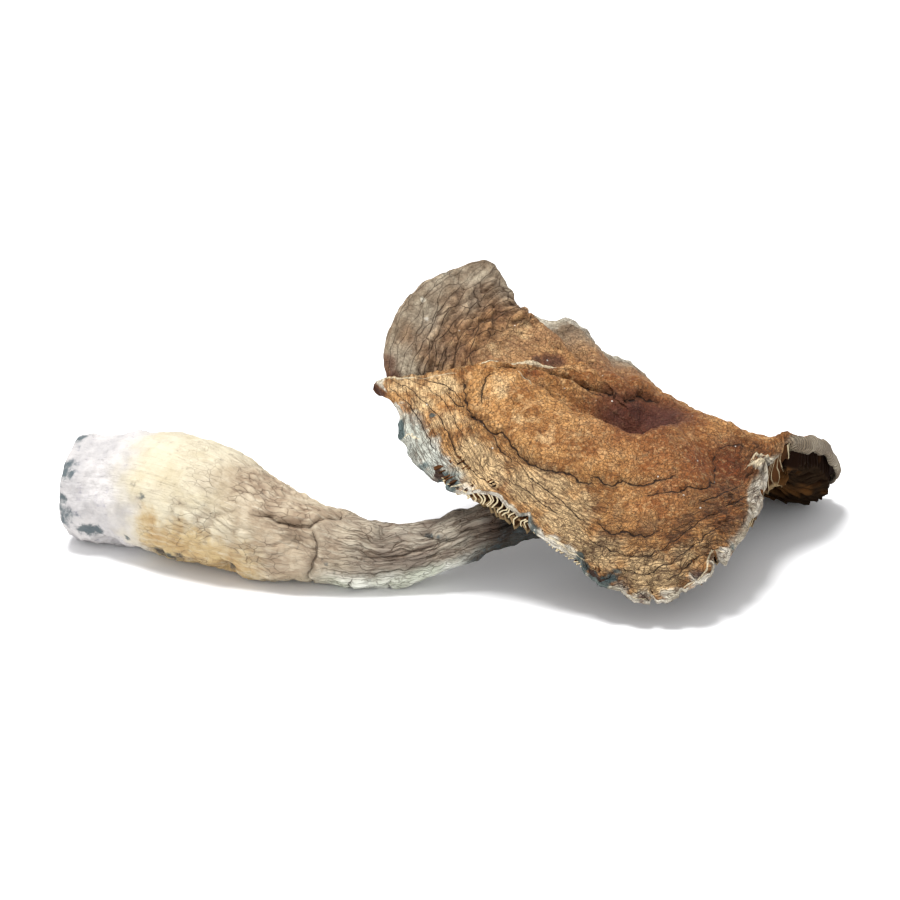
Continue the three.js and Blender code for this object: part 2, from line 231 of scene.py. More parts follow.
# Stem axis from the cut base to the cap: x, y (from the drawing's zero), z, radius
STEM = [
    (-36.0, 4.6, 4.95, 4.7), (-34.0, 4.0, 4.9, 5.0), (-31.0, 3.0, 5.2, 5.35), (-26.5, 0.4, 5.75, 5.95),
    (-21.9, -2.6, 5.55, 5.7), (-17.0, -5.5, 4.5, 4.6), (-11.4, -7.2, 3.65, 3.7), (-6.2, -8.0, 3.05, 3.05),
    (-1.9, -7.8, 3.65, 2.55), (2.9, -7.0, 5.2, 2.35), (8.0, -4.4, 5.7, 2.3), (12.8, -1.4, 6.0, 2.25),
    (16.0, 0.7, 6.7, 2.3), (17.7, 1.8, 7.9, 2.4), (18.0, 2.0, 9.2, 2.6),
]

# Lumps and pits of the stem: distance from the base, angle (0 front, 90 top), height, radius
LUMPS = [
    (26.8, 60, 0.85, 1.5), (28.7, 66, 0.55, 0.8), (30.2, 52, 0.45, 1.1), (25.2, 30, -0.4, 0.9),
    (31.8, 75, 0.35, 1.1), (24.6, 72, 0.3, 1.4), (39.0, 60, 0.4, 1.2), (42.0, 68, 0.4, 1.6),
    (35.4, 82, 0.35, 1.2), (33.0, 62, -0.25, 1.0), (37.6, 70, -0.4, 0.5), (43.4, 50, 0.45, 0.9),
    (20.0, 322, -0.6, 0.7), (12.0, 318, -0.3, 0.8), (27.5, 330, 0.35, 1.3), (24.3, 335, 0.35, 1.4),
    (30.6, 325, 0.3, 1.3), (1.0, 100, 0.6, 1.2), (1.5, 345, 0.5, 1.3), (1.0, 30, 0.4, 1.4),
    (2.2, 315, 0.5, 1.2), (29.2, 3, -0.3, 0.3), (34.0, 20, -0.3, 0.4), (34.0, 80, 0.25, 1.5),
    (22.0, 310, 0.3, 1.6),
]

# Pinched grooves: half width, depth, then distance and angle along each
PINCHES = [
    (0.16, 0.45, [(26.5, 410), (26.9, 396), (27.3, 380), (27.2, 360), (26.8, 335), (27.0, 310),
        (26.8, 280)]),
    (0.24, 0.5, [(21.6, 404), (22.6, 407), (24.0, 407), (25.2, 410), (26.4, 410), (26.9, 416),
        (27.2, 424)]),
    (0.18, 0.3, [(27.0, 424), (27.9, 431), (28.5, 439), (28.5, 450)]),
    (0.2, 0.3, [(30.6, 340), (30.4, 318), (30.8, 295), (31.0, 275)]),
    (0.18, 0.25, [(33.6, 330), (33.4, 305), (33.6, 275)]),
    (0.13, 0.3, [(19.6, 338), (19.9, 325), (19.6, 305)]),
    (0.2, 0.45, [(41.0, 312), (42.5, 318), (44.0, 326), (44.6, 334)]),
    (0.16, 0.3, [(36.9, 434), (37.5, 420), (38.0, 406), (38.8, 396)]),
    (0.16, 0.3, [(39.0, 396), (42.0, 401), (45.0, 405), (48.0, 404)]),
    (0.14, 0.28, [(35.5, 372), (39.0, 376), (43.0, 380), (47.0, 383)]),
    (0.14, 0.24, [(33.0, 340), (37.0, 336), (41.0, 338), (44.0, 346)]),
    (0.16, 0.25, [(31.5, 385), (34.0, 388), (37.0, 392), (40.0, 391)]),
    (0.16, 0.25, [(28.0, 352), (31.0, 350), (35.0, 352), (38.0, 350)]),
]

# ---------------------------------------------------------------- noise and curves

CELL_CORNERS = list(itertools.product((0, 1), repeat=3))
CELL_NEIGHBOURS = list(itertools.product((-1, 0, 1), repeat=3))


def scatter(cell, seed):
    """Three scrambled whole numbers, 0 to 1023, for each cell of a grid."""
    n = cell[..., 0] * 374761393 + cell[..., 1] * 668265263 + cell[..., 2] * 1440662683
    n = (n + seed * 1274126177) & 0xFFFFFFFF
    n = ((n ^ (n >> 13)) * 1274126177) & 0xFFFFFFFF
    n = n ^ (n >> 16)
    return np.stack([n & 1023, (n >> 10) & 1023, (n >> 20) & 1023], -1)


def noise(p, seed=0):
    """Smooth noise between about -1 and 1 at each point of an array (..., 3)."""
    cell = np.floor(p).astype(np.int64)
    f = p - cell
    w = f * f * f * (f * (f * 6 - 15) + 10)
    total = np.zeros(p.shape[:-1])
    for corner in CELL_CORNERS:
        slope = scatter(cell + corner, seed) / 511.5 - 1
        weight = np.where(corner, w, 1 - w).prod(-1)
        total += (slope * (f - corner)).sum(-1) * weight
    return total * 1.6


def noises(p, *pairs):
    """Noises side by side, one for each width in mm and seed."""
    return np.stack([noise(p / width, seed) for width, seed in pairs], -1)


def layers(p, count, seed=0):
    """Noises on top of each other, each half as wide and half as high as the one before."""
    return sum(noise(p * 2**k, seed + k) * 0.5**k for k in range(count))


def ramp(x, low, high):
    t = np.clip((x - low) / (high - low), 0, 1)
    return t * t * (3 - 2 * t)


def window(x, rise, fall):
    """1 between a rising and a falling ramp, 0 outside them."""
    return ramp(x, *rise) * (1 - ramp(x, *fall))


def bell(v, width):
    """1 where a distance is zero, falling away to 0 past its width."""
    return np.exp(-((v / width) ** 2))


def counted(p, cell_mm):
    """Points counted out in cells of the given sizes."""
    return p * (1 / np.array(cell_mm))


def walls(p, cell_mm, seed):
    """How far, in mm, each point is from the wall between two cells of a random packing."""
    p = counted(p, cell_mm)
    cell = np.floor(p).astype(np.int64)
    first = np.full(p.shape[:-1], 9.0)
    second = first
    for step in CELL_NEIGHBOURS:
        q = cell + step
        d = np.linalg.norm(q + scatter(q, seed) / 1024 - p, axis=-1)
        second = np.minimum(second, np.maximum(first, d))
        first = np.minimum(first, d)
    return (second - first) * min(cell_mm) / 2


def pillow(edge, width):
    """0 at the walls, swelling to 1 inside the cells."""
    return np.minimum(edge / width, 1) ** 0.6


def around_mm(degrees, start, radius):
    """Distance in mm round a circle from a start angle, the short way."""
    return ((degrees - start + 180) % 360 - 180) * math.pi / 180 * radius


def path_length(points):
    return np.r_[0, np.cumsum(np.linalg.norm(np.diff(points, axis=0), axis=1))]


def polyline(q, knots):
    """Distance to a polyline, which side of it (1 or -1), and how far along it (0 to 1)."""
    best = np.full(q.shape[:-1], 1e9)
    sign = np.ones(q.shape[:-1])
    where = np.zeros(q.shape[:-1])
    count = len(knots) - 1
    for n in range(count):
        ab = knots[n + 1] - knots[n]
        aq = q - knots[n]
        t = np.clip((aq @ ab) / (ab @ ab), 0, 1)
        d = np.linalg.norm(aq - t[..., None] * ab, axis=-1)
        near = d < best
        best = np.where(near, d, best)
        turn = ab[0] * aq[..., 1] - ab[1] * aq[..., 0]
        sign = np.where(near, np.where(turn < 0, -1.0, 1.0), sign)
        where = np.where(near, (n + t) / count, where)
    return best, sign, where


def furrow(q, knots, half, ends, clear, fade):
    """A line drawn on a skin: distance to it, its taper, its signed share of the width, its nearness.

    ends is how much of its width it keeps at its ends. Lines narrower than clear are fainter.
    """
    d, sign, where = polyline(q, np.array(knots))
    taper = ends + (1 - ends) * np.sin(np.clip(where, 0.02, 0.98) * math.pi) ** 0.5
    rel = d / (half * taper)
    return d, taper, sign * rel, bell(rel, 2.6) * min(1.0, (half / clear) ** fade)


def blend_rows(rows, u, loop):
    """A smooth curve through rows of numbers, read at u rows from the first."""
    rows = np.asarray(rows, float)
    n = len(rows)
    i = np.floor(u).astype(int)
    if not loop:
        i = np.clip(i, 0, n - 2)
    t = (u - i)[..., None]
    a, b, c, d = (rows[(i + k) % n] if loop else rows[np.clip(i + k, 0, n - 1)] for k in (-1, 0, 1, 2))
    return 0.5 * (2 * b + (c - a) * t + (2 * a - 5 * b + 4 * c - d) * t**2 + (3 * b - a - 3 * c + d) * t**3)


def unit(v):
    return v / (np.linalg.norm(v, axis=-1, keepdims=True) + 1e-12)


def upward(out, side):
    """Unit normal of two directions that lie in a surface, on whichever side is up."""
    normal = unit(np.cross(out, side))
    return np.where(normal[..., 2:] < 0, -normal, normal)


def around_table(table, bearings):
    """The columns of a table that starts with a bearing, read at other bearings."""
    rows = np.array(sorted((row[0] % 360,) + tuple(row[1:]) for row in table), float)
    return [np.interp(bearings, rows[:, 0], rows[:, k], period=360) for k in range(1, rows.shape[1])]


# ---------------------------------------------------------------- mesh helpers


def clear_selection():
    for o in bpy.context.selected_objects:
        o.select_set(False)


def paint(piece, name, values):
    """A value, or three side by side, for each vertex."""
    kind, field = ("FLOAT_VECTOR", "vector") if values.ndim == 2 else ("FLOAT", "value")
    layer = piece.data.attributes.new(name, kind, "POINT")
    layer.data.foreach_set(field, values.astype(np.float32).ravel())


def wrap(name, grid, lowest):
    """A flat grid wrapped into a skin whose first and last columns meet and whose ends are closed.

    Gives the piece, each vertex's column and row, and a function that paints three fields of the grid on it.
    """
    grid[..., 2] = np.maximum(grid[..., 2], lowest)
    grid[-1] = grid[0]
    grid[:, 0] = grid[:, 0].mean(0)
    grid[:, -1] = grid[:, -1].mean(0)
    around, across = grid.shape[0] - 1, grid.shape[1] - 1
    clear_selection()
    bpy.ops.mesh.primitive_grid_add(x_subdivisions=around, y_subdivisions=across, size=1)
    piece = bpy.context.object
    piece.name = name
    piece.data.name = name
    co = np.empty(len(piece.data.vertices) * 3)
    piece.data.vertices.foreach_get("co", co)
    co = co.reshape(-1, 3)
    i = np.rint((co[:, 0] + 0.5) * around).astype(int)
    j = np.rint((co[:, 1] + 0.5) * across).astype(int)
    piece.data.vertices.foreach_set("co", (grid[i, j] * MM).astype(np.float32).ravel())
    piece.data.update()

    def paint_grid(attribute, *fields):
        cut = np.zeros((len(i), 3))
        for k, values in enumerate(fields):
            values = np.array(np.broadcast_to(values, grid.shape[:2]))
            values[-1] = values[0]
            cut[:, k] = values[i, j]
        paint(piece, attribute, cut)

    return piece, i, j, paint_grid


def close_skin(piece):
    clear_selection()
    piece.select_set(True)
    bpy.context.view_layer.objects.active = piece
    bpy.ops.object.mode_set(mode="EDIT")
    bpy.ops.mesh.select_all(action="SELECT")
    bpy.ops.mesh.remove_doubles(threshold=0.000002)
    bpy.ops.mesh.normals_make_consistent(inside=False)
    bpy.ops.object.mode_set(mode="OBJECT")
    bpy.ops.object.shade_smooth()
    piece.select_set(False)


# ---------------------------------------------------------------- the cap's surface


def rim_rows():
    """The rim as x, y, z and swelling, set out round the centre by bearing and reach."""
    bearing, reach, height, swell = np.array(RIM, float).T
    a = np.radians(bearing)
    return np.stack([CAP_CENTRE[0] + reach * np.cos(a), CAP_CENTRE[1] + reach * np.sin(a), height, swell], -1)


RIM_ROWS = rim_rows()
MEAN_SWELL = RIM_ROWS[:, 3].mean()


def rim_at(u):
    return blend_rows(RIM_ROWS, u, True)


def bearing_of(u):
    rim = rim_at(u)
    return np.degrees(np.arctan2(rim[..., 1] - CAP_CENTRE[1], rim[..., 0] - CAP_CENTRE[0])) % 360


FINE_U = np.linspace(0, len(RIM), 6401)
FINE_BEARING = bearing_of(FINE_U[:-1])
ORDER = np.argsort(FINE_BEARING)
RIM_RUN = path_length(rim_at(FINE_U)[:, :3])


def plain_skin(share, u):
    """The cap's top without its local hills, at shares of the reach towards points of the rim."""
    rim = rim_at(u)
    own = ramp(share, *CENTRE_SMOOTH)
    swell = MEAN_SWELL * (1 - own) + rim[..., 3] * own
    p = CAP_CENTRE + (rim[..., :3] - CAP_CENTRE) * share[..., None]
    p[..., 2] += 4 * swell * share * (1 - share) * (1 + SWELL_SKEW * (1 - 2 * share))
    p[..., 2] -= DIMPLE_DEPTH * bell(share, DIMPLE_SHARE)
    return p


def spot(bearing, share):
    u = np.interp(bearing % 360, FINE_BEARING[ORDER], FINE_U[:-1][ORDER])
    return plain_skin(np.array([float(share)]), np.array([u]))[0]


def skin(share, u):
    p = plain_skin(share, u)
    lift = np.zeros(share.shape)
    for bearing, s, height, radius in SWELLS:
        c = spot(bearing, s)
        lift += height * np.exp(-((p[..., 0] - c[0]) ** 2 + (p[..., 1] - c[1]) ** 2) / radius**2)
    p[..., 2] += lift
    return p


def along_and_across(p):
    """Unit outward direction, and unit normal pointing up, on a grid of points."""
    out = unit(np.gradient(p, axis=1))
    side = np.gradient(p, axis=0)
    side[0] = side[-1] = p[1] - p[-2]
    return out, upward(out, side)


def let_down(p, normal, share, thick):
    """The underside: straight down through the flesh, and square to the skin near the rim."""
    steep = 1 / np.maximum(normal[..., 2], 0.45)
    drop = thick * np.minimum(steep, 1.2 + np.clip(share / 0.3, 0, 1))
    square = ramp(share, 0.86, 1.0)[..., None]
    straight_down = np.array([0, 0, 1.0]) * drop[..., None]
    return p - straight_down * (1 - square) - normal * thick[..., None] * square


def flesh(share):
    """Thickness of the flesh from the centre to the rim."""
    return np.interp(share, [0, 0.8, 1.0], [1.6, 0.85, 0.5])


def rim_walk(count, close_up=0.0):
    """Values of u that step along the rim, closer together where the skin is finely creased."""
    creased = window(FINE_BEARING, (125, 140), (345, 359))
    length = np.r_[0, np.cumsum(np.diff(RIM_RUN) * (1 + close_up * (creased - 0.35)))]
    return np.interp(np.linspace(0, length[-1], count + 1), length, FINE_U)


# ---------------------------------------------------------------- cap

CAP_AROUND = 660  # steps round the rim
CAP_TOP = 124  # steps from the centre to the rim
CAP_TURN = 6  # steps round the rolled edge, outside and again inside
CAP_UNDER = 12  # steps back to the centre
COMPASS_MM = 20.0  # mean reach, so that bearings can be counted out in mm
VALLEY = 0.95  # half width of the soft valley that a crack lies in
THIN_LINE = 0.17  # cracks narrower than this are straighter and fainter
# Size of the creases, in mm: along the rim twice, and out from the centre
LONG_CREASE = (3.2, 3.2, 0.85)
FLAP_CREASE = (2.5, 2.5, 0.85)
FINE_CREASE = (1.7, 1.7, 0.42)
CROSS_CREASE = (1.1, 1.1, 0.8)
PUCKER = (9.0, 9.0, 2.3)
LIP_RIB = 0.42


def draw_lines(features, p, wander, valley=False):
    """Height, signed distance and nearness of a list of polylines laid over the cap."""
    height = np.zeros(p.shape[:-1])
    signed = np.full(p.shape[:-1], 1.0)
    near = np.zeros(p.shape[:-1])
    for half, high, path in features:
        q = p[..., :2] + wander * min(1.0, (half / THIN_LINE) ** 1.5)
        d, taper, side, here = furrow(q, [spot(b, s)[:2] for b, s in path], half, 0.45, THIN_LINE, 1.3)
        notch = bell(d, 1.25 * half)
        if valley:
            notch = 0.75 * notch + 0.65 * bell(d, VALLEY)
        height = np.maximum(height, high * taper * notch)
        signed = np.where(here > near, side, signed)
        near = np.maximum(near, here)
    return height, np.clip(signed, -3, 3), near


def patch_field(name, p):
    total = np.zeros(p.shape[:-1])
    for bearing, share, radius, strength in PATCHES[name]:
        d2 = ((p - spot(bearing, share)) ** 2).sum(-1)
        total = np.maximum(total, strength * np.exp(-d2 / radius**2))
    return total


def edge_cut(ring, reach, edge_p, turn_deg, turn_r):
    """How far the rim stands back: bites, a ragged edge, and room for the roll."""
    cut = np.zeros(len(ring))
    for bearing, depth, half in BITES:
        cut += depth * bell(around_mm(ring, bearing, reach), half)
    torn = window(ring, (186, 190), (345, 352)) * (1 - 0.7 * ramp(ring, 296, 300))
    torn += 0.5 * window(ring, (88, 100), (170, 178))
    cut += torn * (0.20 * noise(edge_p / 0.9, 31) + 0.12 * noise(edge_p / 0.4, 30))
    cut += 0.2 * noise(edge_p / 3.1, 32)
    return cut + turn_r * np.sin(np.radians(np.minimum(turn_deg, 90))) * 0.7


def cap_zones(p, share, bearing):
    """How much of each kind of skin there is at each point, 0 to 1."""
    flap = window(bearing, (105, 140), (178, 181)) * ramp(share + 0.06 * noise(p / 2.5, 2), 0.56, 0.68)
    front = ramp(share + 0.08 * noise(p / 3.0, 1), 0.60, 0.80) * window(bearing, (178, 184), (352, 359))
    back = ramp(share, 0.7, 0.9) * (1 - window(bearing, (112, 138), (352, 359)))
    corner = window(bearing, (181, 184), (194, 203)) * ramp(share, 0.6, 0.75)
    return SimpleNamespace(
        flap=flap,
        front=front,
        creased=np.maximum(front, 0.6 * back),
        corner=corner * (1 - ramp(share, 0.90, 0.96) * ramp(bearing, 188, 194)),
        back=back,
        combed=window(bearing, (182, 186), (240, 256)),
        net=window(bearing, (236, 256), (292, 308)) * ramp(share, 0.74, 0.86),
        quiet=(1 - front) * (1 - flap) * ramp(share, 0.12, 0.25),
        broken=ramp(noise(p / 1.8, 15), -0.35, 0.25),
        chill=window(bearing, (189, 194), (212, 217)) * ramp(share, 0.86, 0.93),
        behind=window(bearing, (60, 90), (179, 182)) * ramp(share, 0.30, 0.55),
        far=window(bearing, (70, 90), (124, 138)) * ramp(share, 0.62, 0.9),
    )


def cap_relief(p, g, share, zone, long, fine):
    """Height of the dents, the leathery grain and the creases, before any cracks."""
    fade = 1 - ramp(share, 0.985, 1.0) * 0.6
    height = 0.32 * layers(p / 5.0, 3, 17) * ramp(share, 0.1, 0.3)
    height += (0.12 + 0.07 * zone.quiet) * layers(p / 1.15, 3, 21)
    height += 0.24 * noise(counted(g, PUCKER), 16) * zone.front
    ridge = 0.46 * pillow(long, 0.28) * zone.broken * (1 - 0.5 * zone.combed)
    ridge += 0.10 * pillow(fine, 0.15) + 0.32 * pillow(walls(g, CROSS_CREASE, 14), 0.25) * zone.net
    height += (ridge - 0.3) * zone.creased * fade * (1 - 0.85 * zone.corner)
    bark = 0.62 * pillow(long, 0.28) + 0.10 * pillow(fine, 0.15)
    return height + (bark - 0.5) * zone.flap * fade * (1 - 0.55 * ramp(share, 0.82, 0.95))


def rim_roll(base, out, normal, edge_p, roll, arch, arc):
    """Rows of points round the rolled rim, outside and inside, and the noise that lines it lengthwise."""
    turn_deg, turn_r, thick = roll
    for _ in range(6):
        normal = unit(normal + np.roll(normal, 1, 0) + np.roll(normal, -1, 0))
        out = unit(out + np.roll(out, 1, 0) + np.roll(out, -1, 0))
    ribs = 0.5 + 0.5 * np.sin(arc * 2 * math.pi / LIP_RIB + 1.5 * noise(edge_p / 0.8, 33))
    outer, inner, lines = [], [], []
    for k in range(1, CAP_TURN + 1):
        phi = np.radians(turn_deg) * k / CAP_TURN

        def at_radius(r):
            return base + out * (r * np.sin(phi))[:, None] - normal * (turn_r - r * np.cos(phi))[:, None]

        lines.append(noise(np.concatenate([edge_p[:, :2] / 2.2, phi[:, None] * 2.2], 1), 35))
        knock = 0.10 * noise(np.concatenate([edge_p[:, :2] / 1.3, phi[:, None] * 1.4], 1), 34)
        knock = knock - 0.05 * ribs * arch - 0.06 * bell(lines[-1], 0.2) * (1 - arch)
        outer.append(at_radius(turn_r + knock * min(1, k / 2)))
        inner.append(at_radius(np.maximum(turn_r - thick, 0.06)))
    return outer, inner, np.stack(lines, 1)


def build_cap():
    walk = rim_walk(CAP_AROUND, 0.5)
    columns = len(walk)
    share, u = np.meshgrid(np.linspace(0, 1, CAP_TOP + 1) ** 0.85, walk)
    u = u % len(RIM)
    bearing = bearing_of(u)
    ring = bearing[:, -1]
    reach = np.linalg.norm(rim_at(u)[..., :3] - CAP_CENTRE, axis=-1)
    roll = around_table(ROLL, ring)
    compass = np.stack([np.cos(np.radians(bearing)), np.sin(np.radians(bearing))], -1) * COMPASS_MM
    edge_p = np.concatenate([compass[:, -1], np.zeros((columns, 1))], 1)
    cut = (edge_cut(ring, reach[:, -1], edge_p, roll[0], roll[1]) / reach[:, -1])[:, None]
    arch = np.where(ring > 180, ramp(ring, 350, 355), 1 - ramp(ring, 26, 32))
    arc = np.interp(walk, FINE_U, RIM_RUN)

    # top
    share = share * (1 - cut * ramp(share, 0.75, 1.0))
    p = skin(share, u)
    out, normal = along_and_across(p)
    grain = np.concatenate([compass, (share * reach)[..., None]], -1)
    zone = cap_zones(p, share, bearing)
    calm = (1 - 0.6 * zone.flap)[..., None]
    g = grain + noises(p, (3.3, 3), (3.3, 4), (2.6, 5)) * calm * np.array([1.8, 1.8, 0.8])
    g = g + noises(p, (1.1, 6), (1.1, 7), (1.1, 8)) * calm * np.array([0.6, 0.6, 0.16])
    long = walls(g, LONG_CREASE, 11) * (1 - zone.flap) + walls(g, FLAP_CREASE, 13) * zone.flap
    fine = walls(g, FINE_CREASE, 12)
    wander = 0.22 * noises(p, (0.9, 24), (0.9, 25)) + 0.14 * noises(p, (0.42, 26), (0.42, 27))
    crack, crack_side, crack_near = draw_lines(CRACKS, p, wander, True)
    tear, tear_side, tear_near = draw_lines(TEARS, p, 0.4 * wander)
    height = cap_relief(p, g, share, zone, long, fine) + tear - crack
    p_top = p + normal * height[..., None]

    # rolled rim and underside
    outer, inner, roll_lines = rim_roll(p_top[:, -1], out[:, -1], normal[:, -1], edge_p, roll, arch, arc)
    low_share, low_u = np.meshgrid(np.linspace(1, 0, CAP_UNDER + 1) ** 0.8, walk)
    low_share = low_share * (1 - cut * ramp(low_share, 0.75, 1.0))
    q = skin(low_share, low_u % len(RIM))
    thick = flesh(low_share) + (roll[2][:, None] - 0.5) * ramp(low_share, 0.8, 1.0)
    q = let_down(q, along_and_across(q)[1], low_share, thick)

    rolled = np.stack(outer + inner[::-1], 1)
    piece, i, j, paint_grid = wrap("cap_skin", np.concatenate([p_top, rolled, q], 1), 0.02)

    def whole(top, turn, under):
        """One painted value for every row: on the top, on the roll and underneath."""
        turn = np.asarray(turn, float)
        turn = np.broadcast_to(turn if turn.ndim == 2 else turn.reshape(-1, 1), (columns, CAP_TURN))
        return np.concatenate([top, turn, turn[:, ::-1], np.full((columns, CAP_UNDER + 1), float(under))], 1)

    # creases, cracks and tears
    strong = zone.creased * (0.35 + 0.65 * zone.broken) * (1 - 0.92 * zone.corner) * (1 - 0.55 * zone.combed)
    strong = strong * (1 - zone.flap)
    strong += zone.flap * (0.85 + 0.15 * zone.broken) * (1 - 0.5 * ramp(share, 0.84, 0.95))
    fine_on = np.maximum(zone.front * (1 - 0.75 * zone.corner), 0.6 * zone.back) * (1 - 0.7 * zone.flap)
    cross_on = np.maximum(zone.net, 0.3 * zone.quiet * zone.broken)
    paint_grid("creases", whole(long, np.abs(roll_lines) * 0.4, 1), whole(zone.chill, zone.chill[:, -1], 1))
    paint_grid("strength", whole(strong, 0.5 * (1 - arch), 0), whole(fine_on, 0.6 * (1 - arch), 0),
               whole(cross_on, 0, 0))
    paint_grid("crack", whole(crack_side, 3, 3), whole(crack_near, 0, 0), whole(zone.quiet, 0, 0))
    paint_grid("tear", whole(tear_side, 3, 3), whole(tear_near, 0, 0), whole(zone.behind, 0, 0))

    # colours of the flap, the rims, the hook at the left corner, and the patches
    lip = window(ring, (294, 302), (346, 350))
    near_rim = ramp(share + 0.08 * bell(bearing - 323, 11), 0.945, 0.975)
    grey = zone.flap * ramp(share + 0.10 * noise(p / 3.0, 41), 0.68, 0.95)
    grey = np.maximum(grey, near_rim * np.maximum(lip, arch)[:, None])
    grey = np.maximum(grey, 0.8 * zone.far)
    grey_turn = np.maximum(np.maximum(lip, arch), 0.9 * window(ring, (26, 32), (174, 178)))
    paint_grid("tone_a", whole(grey, grey_turn, 0), whole(patch_field("gold", p), 0, 0),
               whole(patch_field("red", p), 0, 0))
    left = window(ring, (186, 190), (288, 294))
    hook = window(ring, (178.8, 179.8), (185, 187))[:, None]
    level = np.arange(1, CAP_TURN + 1) / CAP_TURN
    hook_turn = hook * ramp(level, 0.2, 0.5)
    purple = patch_field("purple", p)
    teal = window(ring, (186, 187.5), (196, 199))[:, None]
    blue = np.maximum(patch_field("blue", p), 1.1 * teal * ramp(share, 0.965, 0.988))
    pale = np.maximum(patch_field("pale", p), 0.95 * zone.far * ramp(share, 0.80, 0.97))
    pale = np.maximum(pale, 0.60 * near_rim * lip[:, None] * (1 - ramp(bearing, 343, 349)))
    pale_turn = np.maximum(pale[:, -1], np.maximum(left * 0.85, lip * 0.6))[:, None] * (1 - hook_turn)
    pale_turn = np.maximum(pale_turn, hook * (1 - ramp(level, 0.15, 0.4)))
    paint_grid("tone_b", whole(purple, np.maximum(purple[:, -1:], hook_turn * 1.6), 0),
               whole(blue, blue[:, -1], 0), whole(pale, pale_turn, 0))
    paint_grid("tone_c", whole(0 * share, 0, 1), whole(arch[:, None] * ramp(share, 0.93, 0.97), arch, 0),
               whole(zone.front, 0, 0))

    # coordinates in mm along the grain, carried on round the roll
    steps = np.arange(1, 2 * CAP_TURN + 1)[None, :, None] * np.array([0, 0, 1.0])
    below = np.repeat(compass[:, :1], CAP_UNDER + 1, 1)
    below = np.concatenate([below, (low_share * reach[:, -1:])[..., None]], -1)
    plain = np.concatenate([grain, grain[:, -1:] + 0.2 * steps, below], 1)
    woven = np.concatenate([g, g[:, -1:] + 0.22 * steps, below], 1)
    paint_grid("grain", *np.moveaxis(plain, -1, 0))
    paint_grid("weave", *np.moveaxis(woven, -1, 0))
    paint(piece, "rim_run", arc[i])
    close_skin(piece)
    return piece


# ---------------------------------------------------------------- gills

GILL_PITCH = 0.52
GILL_THICK = 0.13
GILL_LEVELS = (0.0, 0.2, 0.4, 0.6, 0.8, 0.92, 1.0)  # shares of a plate's depth
SHARP = len(GILL_LEVELS) - 1
# Round a plate's section: down one face (side 1) and back up the other (side -1), by level
SECTION = [(1, k) for k in range(SHARP + 1)] + [(-1, k) for k in range(SHARP - 1, -1, -1)]
# Every fourth plate is a long one: where each starts, steps along it, and its own depth
TIERS = [(0.20, 22, 2.3), (0.78, 9, 0.9), (0.55, 13, 1.8), (0.70, 10, 1.2)]
# Depth of the plates near the rim, further in, and how bare their ends are: bearing, depth, inner, bare
GILL_RIM = [
    (5, 2.6, 3.0, 0.6), (18, 2.4, 3.6, 0.3), (30, 2.6, 4.0, 0.1), (45, 1.2, 2.6, 0.0),
    (60, 0.6, 2.2, 0.0), (80, 1.2, 2.4, 0.1), (120, 1.4, 2.4, 0.3), (165, 1.4, 2.4, 0.3),
    (182, 1.2, 2.4, 0.2), (200, 1.0, 2.4, 0.3), (208, 0.45, 2.0, 0.4), (213, 0.6, 3.2, 1.0),
    (219, 1.3, 4.2, 1.0), (226, 1.8, 4.8, 1.0), (232, 1.6, 4.4, 1.0), (235, 0.8, 3.0, 0.9),
    (241, 1.1, 3.4, 0.9), (250, 0.6, 2.4, 0.7), (262, 0.6, 1.6, 0.4), (272, 0.5, 1.6, 0.2),
    (288, 0.8, 2.0, 0.5), (300, 1.3, 2.4, 0.7), (315, 2.2, 3.0, 0.9), (328, 2.6, 3.4, 1.0),
    (340, 3.8, 4.2, 1.0), (350, 4.2, 4.4, 1.0), (356, 3.2, 4.0, 1.0),
]


